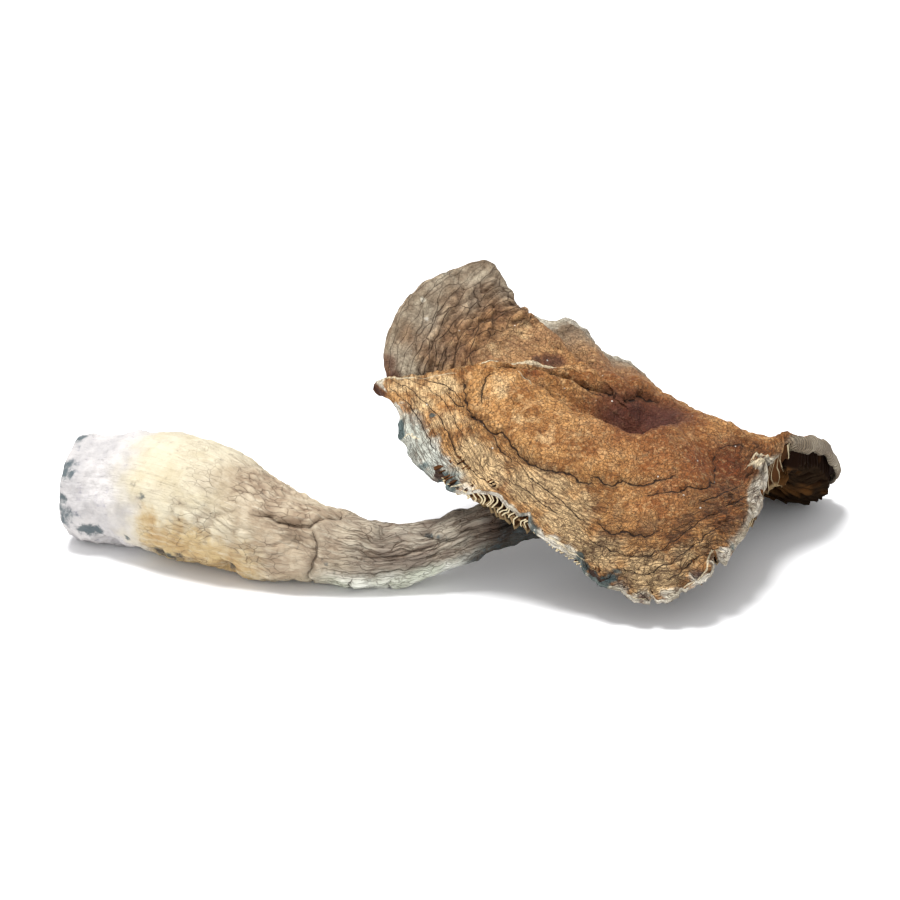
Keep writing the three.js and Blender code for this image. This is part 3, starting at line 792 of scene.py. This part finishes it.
def gill_plate(n, u0, rng):
    """One plate: its points by level, the direction across it, and its edge, bare and tone paint."""
    s_in, steps, full = TIERS[n % len(TIERS)]
    s_in = s_in + rng.uniform(-0.03, 0.03)
    bearing = bearing_of(np.array([u0 % len(RIM)]))[0]
    deep, inner, bare = around_table(GILL_RIM, bearing)
    s_out = 0.945 + 0.035 * bare + rng.uniform(-0.004, 0.004)
    last = 1 - 0.004 / (s_out - s_in)
    s = s_in + (s_out - s_in) * np.append(np.linspace(0, last, steps) ** 0.8, 1.0)

    # root line, along the underside of the flesh
    slow = noise(np.array([[n * 0.11, 0.5, 0.5]]), 50)[0]
    loose = 1 + 1.3 * window(bearing, (310, 325), (350, 356))
    lean = (0.35 * slow + rng.uniform(-0.12, 0.12)) * loose
    u = (u0 + lean * (s_out - s)) % len(RIM)
    h = 1e-3
    p = skin(s, u)
    side = unit(skin(s, (u + h) % len(RIM)) - skin(s, (u - h) % len(RIM)))
    normal = upward(unit(p - skin(s - h, u)), side)
    root = let_down(p, normal, s, flesh(s)) + normal * 0.12
    hang = unit(np.array([0, 0, -0.8]) - normal)

    # depth, ragged along the edge
    full = full * (1 - bare) + max(full, 0.6 * inner) * bare
    mid = full + (inner - full) * ramp(s, 0.62, 0.82) * (0.4 + 0.6 * bare)
    near_rim = ramp(s, 0.86, 0.95)
    ragged = noise(np.stack([s * 22, s * 0, s * 0 + n * 3.7], -1), 51)
    depth = (mid * (1 - near_rim) + deep * near_rim) * ramp(s, s_in - 0.02, s_in + 0.16)
    depth = depth * (1 + (0.10 + 0.16 * bare) * ragged)

    # waves that grow towards the edge
    own_p = np.stack([s * 24, s * 0 + 0.5, s * 0 + n * 1.7], -1)
    wave = noise(np.stack([s * 15, s * 0 + 0.5, s * 0 + n * 0.16], -1), 52) * 0.50
    wave = (wave + noise(own_p, 53) * 0.22) * loose
    phase = n * 0.35 + 2.0 * slow
    rows = []
    for level in GILL_LEVELS:
        curl = 0.20 * np.sin(level * 4.6 + phase) - 0.20 * math.sin(phase)
        curl = curl + 0.16 * noise(own_p + np.array([0, level * 2.2, 0]), 54) * min(1, level * 3)
        bend = (wave + lean) * level**1.3 + curl * loose * (0.25 + 0.75 * bare * ramp(s, 0.75, 0.9))
        rows.append(root + hang * (depth * level)[:, None] + side * bend[:, None])

    # painted shade: plates under the arch get a darker tone and lose their cream ends
    arch_shade = ramp(bearing, 353, 358) if bearing > 180 else 1 - ramp(bearing, 55, 75)
    tone = max(rng.uniform(0, 1), 0.9 * (loose - 1)) * (1 - arch_shade) - 0.25 * arch_shade
    shown = bare * (1 - 0.34 * (loose - 1)) * (1 - arch_shade)
    ends = shown * (1 - ramp((s_out - s) * COMPASS_MM, 0.0, 0.08))
    paints = [(GILL_LEVELS[k] + 0 * s, ends, tone + 0 * s) for _, k in SECTION]
    return rows, side, paints


def stitch(start, steps):
    """Faces of one closed plate whose points start at a count: round its section and over both ends."""
    row = steps + 1
    loops = len(SECTION)
    faces = []
    for a in range(loops):
        b = (a + 1) % loops
        faces += [(start + a * row + c, start + a * row + c + 1, start + b * row + c + 1, start + b * row + c)
                  for c in range(steps)]
    for a in range(SHARP):
        b = loops - 1 - a
        ends = [a, a + 1, b - 1, b] if a + 1 < b - 1 else [a, a + 1, b]
        faces.append(tuple(start + k * row for k in ends))
        faces.append(tuple(start + steps + k * row for k in reversed(ends)))
    return faces


def build_gills():
    walk = rim_walk(4000)
    length = path_length(rim_at(walk % len(RIM))[:, :3])
    count = int(length[-1] / GILL_PITCH / len(TIERS)) * len(TIERS)
    rng = np.random.default_rng(7)
    verts, faces, paints = [], [], []
    start = 0
    for n in range(count):
        at = (n + 0.38 * rng.uniform(-1, 1)) * length[-1] / count
        rows, side, shades = gill_plate(n, np.interp(at % length[-1], length, walk), rng)
        for sign, k in SECTION:
            half = GILL_THICK / 2 * (1.2 if k == 0 else 0.0 if k == SHARP else 1.0)
            verts.append(rows[k] + side * (sign * half))
        paints += shades
        faces += stitch(start, len(side) - 1)
        start += len(SECTION) * len(side)
    points = np.concatenate(verts)
    points[:, 2] = np.maximum(points[:, 2], 0.03)
    mesh = bpy.data.meshes.new("gill_plates")
    mesh.from_pydata((points * MM).tolist(), [], faces)
    piece = bpy.data.objects.new("gill_plates", mesh)
    bpy.context.collection.objects.link(piece)
    for name, values in zip(("edge", "bare", "tone"), zip(*paints)):
        paint(piece, name, np.concatenate(values))
    mesh.validate()
    close_skin(piece)
    return piece


# ---------------------------------------------------------------- stem

STEM_AROUND = 250  # steps round
STEM_BODY = 340  # steps along
STEM_END = 16  # steps over the cut base
STEM_NOSE = 6  # steps over the end hidden in the cap
# Size of the furrows, in mm: round the stem twice, and along it
LONG_FURROW = (0.8, 0.8, 6.0)
FINE_FURROW = (0.4, 0.4, 2.6)
BLOCK = (0.85, 0.85, 1.5)
SWELLING = (2.2, 2.2, 9.0)
# Bruised patches: distance from the base, angle, radius, strength
STEM_BRUISES = [
    (0.2, 38, 1.3, 1.1), (0.1, 8, 0.8, 1.1), (0.8, 345, 1.2, 1.1), (2.2, 335, 1.2, 1.1),
    (3.6, 330, 0.9, 1.0), (0.4, 88, 1.0, 1.1), (0.3, 355, 0.8, 0.9), (12.0, 320, 1.1, 1.2),
    (13.4, 319, 1.1, 1.2), (14.8, 320, 0.8, 0.9), (10.8, 8, 0.5, 0.6), (11.0, 20, 0.5, 0.6),
    (37.4, 68, 0.5, 1.1), (37.9, 56, 0.4, 1.1), (38.6, 45, 0.45, 1.1), (39.3, 38, 0.35, 0.9),
    (36.9, 76, 0.5, 0.8), (44.0, 350, 1.2, 0.6), (42.0, 318, 0.8, 1.0), (43.4, 322, 0.8, 1.2),
    (20.1, 320, 0.6, 1.2), (28.4, 2, 0.25, 1.2), (8.0, 330, 0.5, 0.7), (6.2, 327, 0.5, 0.6),
    (27.0, 282, 0.6, 0.9), (31.0, 280, 0.7, 0.8), (46.0, 10, 1.6, 0.8),
]


def stem_sections():
    """Round sections from the cut base to the nose.

    Gives each one's centre, two directions, share of the radius, radius and distance from the base.
    """
    rows = [tuple(OFFSET[:2] + (x, y)) + (z, radius) for x, y, z, radius in STEM]
    axis = blend_rows(rows, np.linspace(0, len(STEM) - 1, 4000), False)
    run = path_length(axis[:, :3])
    s = np.linspace(0, run[-1], STEM_BODY + 1)
    row = np.stack([np.interp(s, run, axis[:, k]) for k in range(4)], -1)
    heading = unit(np.gradient(row[:, :3], axis=0))
    side = np.empty_like(heading)
    side[0] = unit(np.cross(heading[0], [0, 0, 1.0]))
    for k in range(1, len(heading)):
        side[k] = unit(side[k - 1] - heading[k] * (side[k - 1] @ heading[k]))

    end = np.linspace(0, 1, STEM_END + 1)[:-1]
    nose = np.linspace(0, 1, STEM_NOSE + 1)[1:] * math.pi / 2

    def extend(values):
        first, last = np.repeat(values[:1], STEM_END, 0), np.repeat(values[-1:], STEM_NOSE, 0)
        return np.concatenate([first, values, last])

    centre = extend(row[:, :3])
    centre[:STEM_END] -= heading[0] * (0.7 * (1 - end**4))[:, None]
    centre[-STEM_NOSE:] += heading[-1] * (0.9 * np.sin(nose))[:, None]
    share = np.concatenate([end**0.8, np.ones(len(row)), np.cos(nose)])
    return centre, extend(side), extend(np.cross(side, heading)), share, extend(row[:, 3]), extend(s)


def hill(s, deg, girth, where, angle, radius):
    """A smooth hill, 0 to 1, at a distance from the base and an angle."""
    return np.exp(-((s - where) ** 2 + around_mm(deg, angle, girth) ** 2) / radius**2)


def pinch_fields(p, s, deg, girth, radius_at):
    """Depth, signed distance and nearness of the pinched grooves."""
    depth = np.zeros(s.shape)
    signed = np.full(s.shape, 3.0)
    near = np.zeros(s.shape)
    wander = 0.25 * noises(p, (1.0, 75), (1.0, 76))
    for half, deep, path in PINCHES:
        middle = np.mean([a for _, a in path])
        knots = [(where, math.radians(a - middle) * radius_at(where)) for where, a in path]
        q = np.stack([s, around_mm(deg, middle, girth)], -1) + wander
        d, taper, side, here = furrow(q, knots, half, 0.4, 0.24, 2)
        depth += deep * taper * bell(d, 1.3 * half)
        signed = np.where(here > near, side, signed)
        near = np.maximum(near, here)
    return depth, np.clip(signed, -3, 3), near


def build_stem():
    centre, side, lift, share, radius, run = stem_sections()
    angle = np.linspace(0, 2 * math.pi, STEM_AROUND + 1)[:, None]
    outward = np.cos(angle)[..., None] * side + np.sin(angle)[..., None] * lift
    p = centre + outward * (radius * share)[:, None]
    shape = p.shape[:2]
    s, deg, body, girth = (np.broadcast_to(v, shape) for v in (run, np.degrees(angle), share, radius))
    grain = np.stack([np.cos(angle) * girth * body, np.sin(angle) * girth * body, s], -1)
    g = grain + 0.5 * noises(p, (3.0, 61), (3.0, 62), (3.0, 63)) * np.array([1, 1, 1.5])
    g = g + 0.10 * noises(p, (0.7, 57), (0.7, 58), (0.7, 59))
    top_side = np.sin(np.radians(deg))

    # kinds of skin: felted white at the base, dry further up, furrowed in the neck
    dry = ramp(s + 3.0 * noise(p / 4.0, 64) - 3.5 * top_side, 8.5, 17)
    neck = ramp(s + 1.0 * noise(p / 3.0, 60), 25, 31)
    white = 1 - ramp(s + 1.8 * noise(p / 2.5, 72) + 0.7 * noise(p / 0.9, 56), 5.5, 12.0)
    broken = ramp(noise(p / 2.5, 70), -0.4, 0.2)

    long, fine, block = walls(g, LONG_FURROW, 65), walls(g, FINE_FURROW, 66), walls(g, BLOCK, 68)
    height = 0.26 * layers(p / 4.2, 3, 69) + 0.05 * layers(p / 0.9, 2, 71)
    height += 0.28 * noise(counted(g, SWELLING), 67) * (0.2 + 0.8 * neck) * dry
    furrowed = 0.42 * pillow(long, 0.25) * (0.4 + 0.6 * broken) + 0.08 * pillow(fine, 0.14)
    height += (furrowed - 0.3) * dry * neck
    height += (0.27 * pillow(block, 0.28) - 0.24) * dry * (1 - 0.85 * neck)
    height += 0.10 * (fine - 0.1) * (1 - dry)
    height += white * (0.22 * layers(p / 1.5, 3, 73) + 0.10 * layers(p / 0.45, 2, 74))
    # pits: the dents, which get painted shade
    pits = np.zeros(shape)
    for where, at_angle, high, across in LUMPS:
        lump = hill(s, deg, girth, where, at_angle, across)
        height += high * lump
        if high < 0 and where > 5:
            pits = np.maximum(pits, 0.7 * lump)
    on_body = slice(STEM_END, -STEM_NOSE)
    pinch, pinch_side, pinch_near = pinch_fields(
        p, s, deg, girth, lambda where: np.interp(where, run[on_body], radius[on_body]))
    height = (height - pinch) * ramp(body, 0.0, 0.6)
    skin_p = p + outward * height[..., None]
    piece, i, j, paint_grid = wrap("stem_flesh", skin_p, 0.0)

    bruise = np.zeros(shape)
    for where, at_angle, across, strength in STEM_BRUISES:
        bruise = np.maximum(bruise, strength * hill(s, deg, girth, where, at_angle, across))
    paint_grid("creases", long, block)
    paint_grid("strength", dry * neck * (0.25 + 0.75 * broken) * (0.6 + 0.4 * top_side),
               dry * (0.15 + 0.85 * neck), dry * (1 - 0.9 * neck) * (0.30 + 0.60 * broken))
    paint_grid("crack", pinch_side, pinch_near, pits)
    mauve = ramp(s + 4.5 * top_side + 2 * noise(skin_p / 4.0, 76), 18.0, 25.5)
    paint_grid("tone_a", white, mauve, ramp(s + 1.5 * noise(skin_p / 3.0, 77), 26, 33))
    # painted shadow of the cap and gills over the stem's end, blue-black, setting in sooner on its underside
    cap_shadow = ramp(s - 2.0 * top_side + 2.0 * noise(skin_p / 2.0, 78), 38.5, 44)
    yolk = window(s, (8, 12), (20, 27)) * ramp(-top_side + 0.3 * noise(skin_p / 3.0, 79), -0.5, 0.3)
    paint_grid("tone_b", cap_shadow, yolk, bruise)
    paint_grid("grain", *np.moveaxis(grain, -1, 0))
    paint_grid("weave", *np.moveaxis(g, -1, 0))
    # painted light: the neck's underside, lit from below
    paint(piece, "underlit_belly", (neck * ramp(-top_side + 0.2 * noise(skin_p / 2.0, 80), 0.0, 0.6))[i, j])
    close_skin(piece)
    return piece


# ---------------------------------------------------------------- materials

SMOOTH = {"interpolation_type": "SMOOTHSTEP"}
LIP_LINE = 0.33  # mm between the painted lines on the arch's lip


def colour(text):
    """sRGB hex to the linear values a shader reads."""
    parts = [int(text[k:k + 2], 16) / 255 for k in (1, 3, 5)]
    return [c / 12.92 if c <= 0.04045 else ((c + 0.055) / 1.055) ** 2.4 for c in parts] + [1.0]


def add(tree, kind, inputs=(), out=0, **settings):
    """One node with its settings, values and links. Gives the output asked for."""
    made = tree.nodes.new("ShaderNode" + kind)
    for key, value in settings.items():
        setattr(made, key, value)
    for key, value in inputs.items() if isinstance(inputs, dict) else enumerate(inputs):
        if isinstance(value, bpy.types.NodeSocket):
            tree.links.new(value, made.inputs[key])
        else:
            made.inputs[key].default_value = value
    return made.outputs[out]


class Paint:
    """A material being mixed, coat over coat."""

    def __init__(self, name, roughness, specular):
        self.material = bpy.data.materials.new(name)
        self.material.use_nodes = True
        tree = self.material.node_tree
        self.shader = tree.nodes["Principled BSDF"]
        self.shader.inputs["Roughness"].default_value = roughness
        self.shader.inputs["Specular IOR Level"].default_value = specular
        self.shader.inputs["IOR"].default_value = 1.45
        self.links = tree.links
        self.add = functools.partial(add, tree)
        self.place = self.add("TexCoord", out="Object")
        self.tone = None
        self.base = None

    def masks(self, name):
        """The three values painted side by side under one name."""
        side_by_side = self.add("Attribute", out="Vector", attribute_name=name)
        return self.add("SeparateXYZ", (side_by_side,), out=slice(3))

    def mottles(self, *rows):
        """Mottled patterns, each with its size in mm, detail, roughness and distortion."""
        return [self.add("TexNoise", {"Vector": self.place, "Scale": 1 / (size * MM), "Detail": detail,
                                      "Roughness": rough, "Distortion": bend})
                for size, detail, rough, bend in rows]

    def streaks(self, stretch, detail, rough, bend):
        """A mottled pattern drawn out along the grain: how many to the mm, in three directions."""
        grain = self.add("Attribute", out="Vector", attribute_name="grain")
        along = self.add("Mapping", {"Vector": grain, "Scale": stretch})
        return self.add("TexNoise", {"Vector": along, "Scale": 1.0, "Detail": detail, "Roughness": rough,
                                     "Distortion": bend})

    def frayed(self, mask, ripple, amount):
        """A soft mask whose edge is broken up by a mottled pattern."""
        off = self.add("Math", (ripple, 0.5), operation="SUBTRACT")
        return self.add("Math", (off, amount, mask), operation="MULTIPLY_ADD")

    def hairs(self, value, width):
        """Thin lines where a mottled pattern crosses its middle."""
        off = self.add("Math", (self.add("Math", (value, 0.5), operation="SUBTRACT"),), operation="ABSOLUTE")
        return self.add("MapRange", (off, width, 0.25 * width), **SMOOTH)

    def net(self, weave, spacing, width, on, strength, ripple, sway=1.0):
        """Fine lines between cells of a spacing in mm, thick and thin by turns, bent slowly by a high sway."""
        scale = 0.45 / MM / min(spacing) / sway
        shake = self.add("TexNoise", {"Vector": self.place, "Scale": scale}, out="Color")
        bent = self.add("VectorMath", (shake, [0.55 * v for v in spacing], weave), operation="MULTIPLY_ADD")
        scaled = self.add("VectorMath", (bent, [1 / v for v in spacing]), operation="MULTIPLY")
        cells = self.add("TexVoronoi", {"Vector": scaled, "Scale": 1.0}, out="Distance",
                         feature="DISTANCE_TO_EDGE")
        edge = self.add("Math", (cells, min(spacing)), operation="MULTIPLY")
        wide = self.add("Math", (ripple, 1.6 * width, -0.3 * width), operation="MULTIPLY_ADD")
        part = self.add("Math", (edge, wide), operation="DIVIDE")
        line = self.add("Math", (1.0, part), operation="SUBTRACT", use_clamp=True)
        return self.product(line, on, strength)

    def stroke(self, side, near, ripple, width):
        """A ragged line down the middle of a crack or tear."""
        off = self.add("Math", (ripple, 1.4 * width, -0.7 * width), operation="MULTIPLY_ADD")
        off = self.add("Math", (self.add("Math", (side,), operation="ABSOLUTE"), off), operation="ADD")
        line = self.add("MapRange", (off, width, 0.35 * width), **SMOOTH)
        return self.product(line, self.add("MapRange", (near, 0.2, 0.5), **SMOOTH))

    def product(self, *masks):
        return functools.reduce(lambda a, b: self.add("Math", (a, b), operation="MULTIPLY"), masks)

    def most(self, *masks):
        return functools.reduce(lambda a, b: self.add("Math", (a, b), operation="MAXIMUM"), masks)

    def shade(self, shades):
        """A colour, or a dark and a light one mixed by the cloudy tone."""
        if isinstance(shades, str):
            return colour(shades)
        dark, light = map(colour, shades)
        return self.add("Mix", {0: self.tone, 6: dark, 7: light}, out=2, data_type="RGBA")

    def coat(self, mask, shades, strength=1.0, span=None):
        """Lay a colour over what is there, where a mask rises or falls through its span."""
        if span:
            mask = self.add("MapRange", (mask, *span, 0.0, strength), **SMOOTH)
        elif strength != 1.0:
            mask = self.product(mask, strength)
        self.base = self.add("Mix", {0: mask, 6: self.base, 7: self.shade(shades)}, out=2, data_type="RGBA")

    def done(self, depth_mm, *relief):
        """Join the colour and the fine relief: patterns, each with how far it stands up."""
        height = 0.0
        for pattern, amount in relief:
            height = self.add("Math", (pattern, amount, height), operation="MULTIPLY_ADD")
        bump = self.add("Bump", {"Height": height, "Strength": 1.0, "Distance": depth_mm * MM})
        self.links.new(bump, self.shader.inputs["Normal"])
        self.links.new(self.base, self.shader.inputs["Base Color"])
        return self.material


def cap_material():
    """Dried cap cuticle: leathery, granular, dull. Flecked brown, cream at the rim, blue where bruised."""
    m = Paint("dried cap skin", 0.72, 0.32)
    long, chill, _ = m.masks("creases")
    long_on, fine_on, cross_on = m.masks("strength")
    crack_side, crack_near, quiet = m.masks("crack")
    tear_side, tear_near, behind = m.masks("tear")
    grey, gold, red = m.masks("tone_a")
    purple, blue, pale = m.masks("tone_b")
    under, ribs, front = m.masks("tone_c")
    weave = m.add("Attribute", out="Vector", attribute_name="weave")
    rim_run = m.add("Attribute", out="Fac", attribute_name="rim_run")
    cloud, patch, fleck, grit, wisp, spots = m.mottles(
        (3.0303, 4.0, 0.62, 0.0),
        (1.1111, 3.0, 0.6, 0.0),
        (0.47619, 3.0, 0.65, 0.0),
        (0.19231, 2.0, 0.6, 0.0),
        (0.66667, 2.0, 0.55, 1.2),
        (0.37037, 1.0, 0.5, 0.0),
    )
    # hair creases that follow the rim, 0.4 mm apart and 3 mm long
    streak = m.product(m.hairs(m.streaks((0.30, 0.30, 2.6), 2.5, 0.55, 0.5), 0.035), front)

    # brown skin, flecked
    m.tone = m.add("MapRange", (cloud, 0.36, 0.64), **SMOOTH)
    m.base = m.shade(("#8f5c2b", "#c89459"))
    m.coat(patch, "#d3a772", 0.62, (0.50, 0.64))
    m.coat(patch, "#6e4524", 0.30, (0.46, 0.36))
    m.coat(behind, "#8c6d52", 0.55)
    m.coat(red, "#6f3309", 0.84)
    m.coat(m.frayed(gold, patch, 1.1), "#e4c594", 0.80, (0.38, 1.00))
    m.coat(fleck, "#d3ad7b", 0.38, (0.52, 0.68))
    m.coat(fleck, "#5d3a20", 0.30, (0.46, 0.36))
    m.coat(spots, "#4a2c19", 0.58, (0.63, 0.70))
    m.coat(m.hairs(wisp, 0.022), "#573620", 0.50)

    # grey flap and rims, cream margin, pale blue left, dark centre
    m.coat(grey, ("#84745f", "#ada08a"))
    m.coat(m.frayed(pale, patch, 1.3), ("#c8bea8", "#e9e2d2"), 1.0, (0.35, 0.85))
    m.coat(m.frayed(chill, patch, 0.8), "#aab4ac", 0.62, (0.2, 1.0))
    m.coat(streak, "#5f3f26", 0.50)
    m.coat(purple, "#63331a", 0.60, (0.02, 0.45))
    m.coat(m.frayed(purple, patch, 0.60), "#36191a", 0.66, (0.15, 1.20))

    # creases, pebbled grain, cracks and tears
    # painted shade: the crease valleys darkened
    valley = m.product(m.add("MapRange", (long, 0.24, 0.0), **SMOOTH), long_on)
    m.coat(valley, "#44291a", 0.58)
    dark = m.most(
        m.net(weave, (3.6, 3.6, 0.95), 0.085, long_on, 1.0, patch),
        m.net(weave, (3.4, 3.4, 0.38), 0.040, fine_on, 0.75, fleck, 5.0),
        m.net(weave, (1.15, 1.15, 0.72), 0.06, cross_on, 0.9, patch),
    )
    skin_mm = m.add("VectorMath", {0: m.place, "Scale": 1 / MM}, operation="SCALE")
    pebble_on = m.product(m.add("MapRange", (quiet, -0.6, 1.0), **SMOOTH),
                          m.add("MapRange", (cloud, 0.35, 0.60, 0.35, 1.0), **SMOOTH))
    pebble = m.net(skin_mm, (0.42, 0.42, 0.42), 0.04, pebble_on, 1.0, patch)
    m.coat(pebble, "#55331c", 0.42)
    m.coat(dark, "#432b19", 0.80)
    # painted shadow: a soft wider darkening along each crack
    m.coat(m.product(crack_near, crack_near), "#3f2817", 0.38)
    m.coat(m.frayed(blue, patch, 1.4), "#3a5053", 0.85, (0.30, 0.85))
    crack = m.stroke(crack_side, crack_near, fleck, 0.5)
    m.coat(crack, "#24150d", 0.88)
    m.coat(m.stroke(tear_side, tear_near, fleck, 0.9), "#d8c8a8", 0.90)

    # ribs on the lip of the arch, and the shaded underside
    turns = m.product(rim_run, 2 * math.pi / LIP_LINE)
    uneven = m.add("Math", (patch, 11.0, turns), operation="MULTIPLY_ADD")
    beat = m.add("Math", (uneven,), operation="SINE")
    rib = m.product(m.add("MapRange", (beat, -0.2, 0.9), **SMOOTH), ribs)
    m.coat(rib, "#4c4338", 0.60)
    m.coat(under, "#3a281f")

    # stray pale crystals, one in a few hundred grains
    grains = m.add("TexVoronoi", {"Vector": m.place, "Scale": 1 / (0.76923 * MM)}, out=slice(2))
    pick = m.add("SeparateColor", (grains[1],))
    lit = m.product(m.add("MapRange", (grains[0], 0.16, 0.06), **SMOOTH),
                    m.add("MapRange", (pick, 0.94, 0.95), **SMOOTH))
    m.coat(lit, "#efe8dc", 0.80)
    grain = (fleck, 0.9), (grit, 0.35), (patch, 0.9)
    fine_lines = (m.hairs(wisp, 0.03), -0.25), (streak, -0.35), (pebble, -0.45)
    return m.done(0.29, *grain, *fine_lines, (dark, -0.7), (crack, -0.8), (rib, -0.7))


def gill_material():
    """Dried gill plates: brittle paper-thin sheets, purple-brown from spores, cream along the edge."""
    m = Paint("dried gill plates", 0.95, 0.05)
    edge, bare, tone = (
        m.add("Attribute", out="Fac", attribute_name=name) for name in ("edge", "bare", "tone")
    )
    cloud, smear = m.mottles((1.42857, 3.0, 0.6, 0.0), (3.84615, 2.0, 0.6, 0.0))
    mixed = m.add("Math", (tone, 0.45, cloud), operation="MULTIPLY_ADD")
    m.tone = m.add("MapRange", (mixed, 0.45, 1.0), **SMOOTH)
    m.base = m.shade(("#140b07", "#54361f"))
    # the cream edge is fainter on the plates darkened as painted shade in the arch
    edge_lit = m.add("MapRange", (m.frayed(edge, cloud, 0.25), 0.84, 0.98), **SMOOTH)
    m.coat(m.product(edge_lit, m.add("MapRange", (tone, -0.2, 0.2, 0.12, 0.65), **SMOOTH)), "#b89d74")
    m.coat(m.frayed(bare, cloud, 0.6), "#dccba6", 0.9, (0.35, 0.8))
    # painted shade: plates deep in the arch darkened to near black, with lighter brown in places
    m.tone = m.add("MapRange", (smear, 0.48, 0.62), **SMOOTH)
    m.coat(tone, ("#1c0f08", "#5a3a1c"), 0.8, (-0.02, -0.24))
    return m.done(0.1, (cloud, 1.0))


def stem_material():
    """Dried stipe: fibrous, dull. White felt at the base, cream belly with painted light on the neck's
    underside, grey ribs, painted blue-black shadow by the cap.
    """
    m = Paint("dried stem flesh", 0.78, 0.28)
    long, block, _ = m.masks("creases")
    long_on, fine_on, block_on = m.masks("strength")
    crack_side, crack_near, pits = m.masks("crack")
    white, mauve, grey = m.masks("tone_a")
    cap_shadow, yolk, bruise = m.masks("tone_b")
    underlit_belly = m.add("Attribute", out="Fac", attribute_name="underlit_belly")
    weave = m.add("Attribute", out="Vector", attribute_name="weave")
    cloud, patch, fleck = m.mottles((3.0303, 4.0, 0.6, 0.0), (1.0, 3.0, 0.6, 0.0), (0.41667, 3.0, 0.6, 0.0))
    fibre = m.streaks((3.0, 3.0, 0.22), 3.0, 0.6, 0.3)

    m.tone = m.add("MapRange", (cloud, 0.36, 0.64), **SMOOTH)
    m.base = m.shade(("#bbb095", "#c6bda6"))
    m.coat(m.frayed(yolk, patch, 1.3), ("#a98650", "#b99f6c"), 0.8, (0.25, 1.05))
    m.coat(mauve, ("#9a856f", "#bdad95"), 0.8)
    m.coat(grey, ("#81766a", "#a39a8a"))
    m.coat(fibre, "#d8d0bb", 0.35, (0.50, 0.70))
    m.coat(patch, "#8d7358", 0.18, (0.52, 0.70))
    # the neck's underside: pale greenish, lightened as painted light from below
    m.coat(underlit_belly, ("#c4c8b6", "#e6e7dc"))
    # painted blue-black shadow under the cap
    m.coat(cap_shadow, ("#0f1314", "#2a3031"), 0.95)
    m.coat(white, ("#adaaaa", "#c3bfbd"))
    m.coat(m.product(m.add("MapRange", (patch, 0.55, 0.75), **SMOOTH), white), "#a9a2b2", 0.35)
    m.coat(m.frayed(bruise, patch, 3.0), "#37494e", 0.85, (0.35, 1.15))

    # painted shade: the furrow and block valleys darkened
    valley = m.most(m.product(m.add("MapRange", (long, 0.22, 0.0), **SMOOTH), long_on),
                    m.product(m.add("MapRange", (block, 0.2, 0.0), **SMOOTH), block_on))
    m.coat(valley, "#6b5140", 0.42)
    dark = m.most(
        m.net(weave, (0.85, 0.85, 7.0), 0.075, long_on, 1.0, patch),
        m.net(weave, (0.42, 0.42, 3.2), 0.04, fine_on, 0.6, fleck),
        m.net(weave, (0.62, 0.62, 1.5), 0.045, block_on, 0.62, patch),
    )
    m.coat(dark, "#5c4633", 0.70)
    # painted shadow: a soft wider darkening along each pinched groove
    m.coat(m.product(crack_near, crack_near), "#5c4634", 0.40)
    crack = m.stroke(crack_side, crack_near, fleck, 0.6)
    # the grooves' dark line, with painted shade in the pits
    m.coat(m.most(crack, pits), "#443326", 0.55)
    return m.done(0.22, (fleck, 0.45), (fibre, 0.8), (patch, 0.5), (dark, -0.7), (crack, -0.8))


def floor_material():
    """White card: dull, even."""
    m = Paint("white card", 0.9, 0.3)
    m.shader.inputs["Base Color"].default_value = colour("#f4f4f5")
    return m.material


# ---------------------------------------------------------------- pieces

for build, make, node, slot in (
    (build_cap, cap_material, "cap", "cap_skin"),
    (build_gills, gill_material, "gills", "gill_flesh"),
    (build_stem, stem_material, "stem", "stem_flesh"),
):
    piece = build()
    piece.data.materials.append(make())
    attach(piece, "root")
    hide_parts(node)

# ---------------------------------------------------------------- floor, light, camera

clear_selection()
bpy.ops.mesh.primitive_plane_add(size=4.0)
floor = bpy.context.object
floor.name = "floor"
floor.data.materials.append(floor_material())

world = bpy.data.worlds.new("pale room")
bpy.context.scene.world = world
world.use_nodes = True
sky = world.node_tree.nodes["Background"]
sky.inputs["Color"].default_value = colour("#ffffff")
sky.inputs["Strength"].default_value = 0.78


def softbox(name, place_m, turn_deg, size, power):
    lamp = bpy.data.lights.new(name, "AREA")
    lamp.shape = "RECTANGLE"
    lamp.size, lamp.size_y = size
    lamp.energy = power
    holder = bpy.data.objects.new(name, lamp)
    holder.location = place_m
    holder.rotation_euler = [math.radians(a) for a in turn_deg]
    bpy.context.collection.objects.link(holder)


softbox("overhead", (-0.10, 0.01, 0.60), (-1, -9.5, 0), (0.20, 0.20), 4.2)
softbox("front panel", (-0.32, -0.50, 0.20), (72, 0, -33), (0.60, 0.30), 1.15)

CAMERA_AWAY = 360.0
LOOK_AT = OFFSET + (0, 0, 10.5)
tilt = math.radians(22)
camera = bpy.data.cameras.new("camera")
camera.sensor_width = 36.0
camera.lens = 151.2
camera.clip_start = 0.01
camera.clip_end = 20.0
viewer = bpy.data.objects.new("camera", camera)
viewer.location = (LOOK_AT + CAMERA_AWAY * np.array([0, -math.cos(tilt), math.sin(tilt)])) * MM
viewer.rotation_euler = (math.radians(90) - tilt, 0, 0)
bpy.context.collection.objects.link(viewer)
bpy.context.scene.camera = viewer
bpy.context.scene.view_settings.view_transform = "Standard"
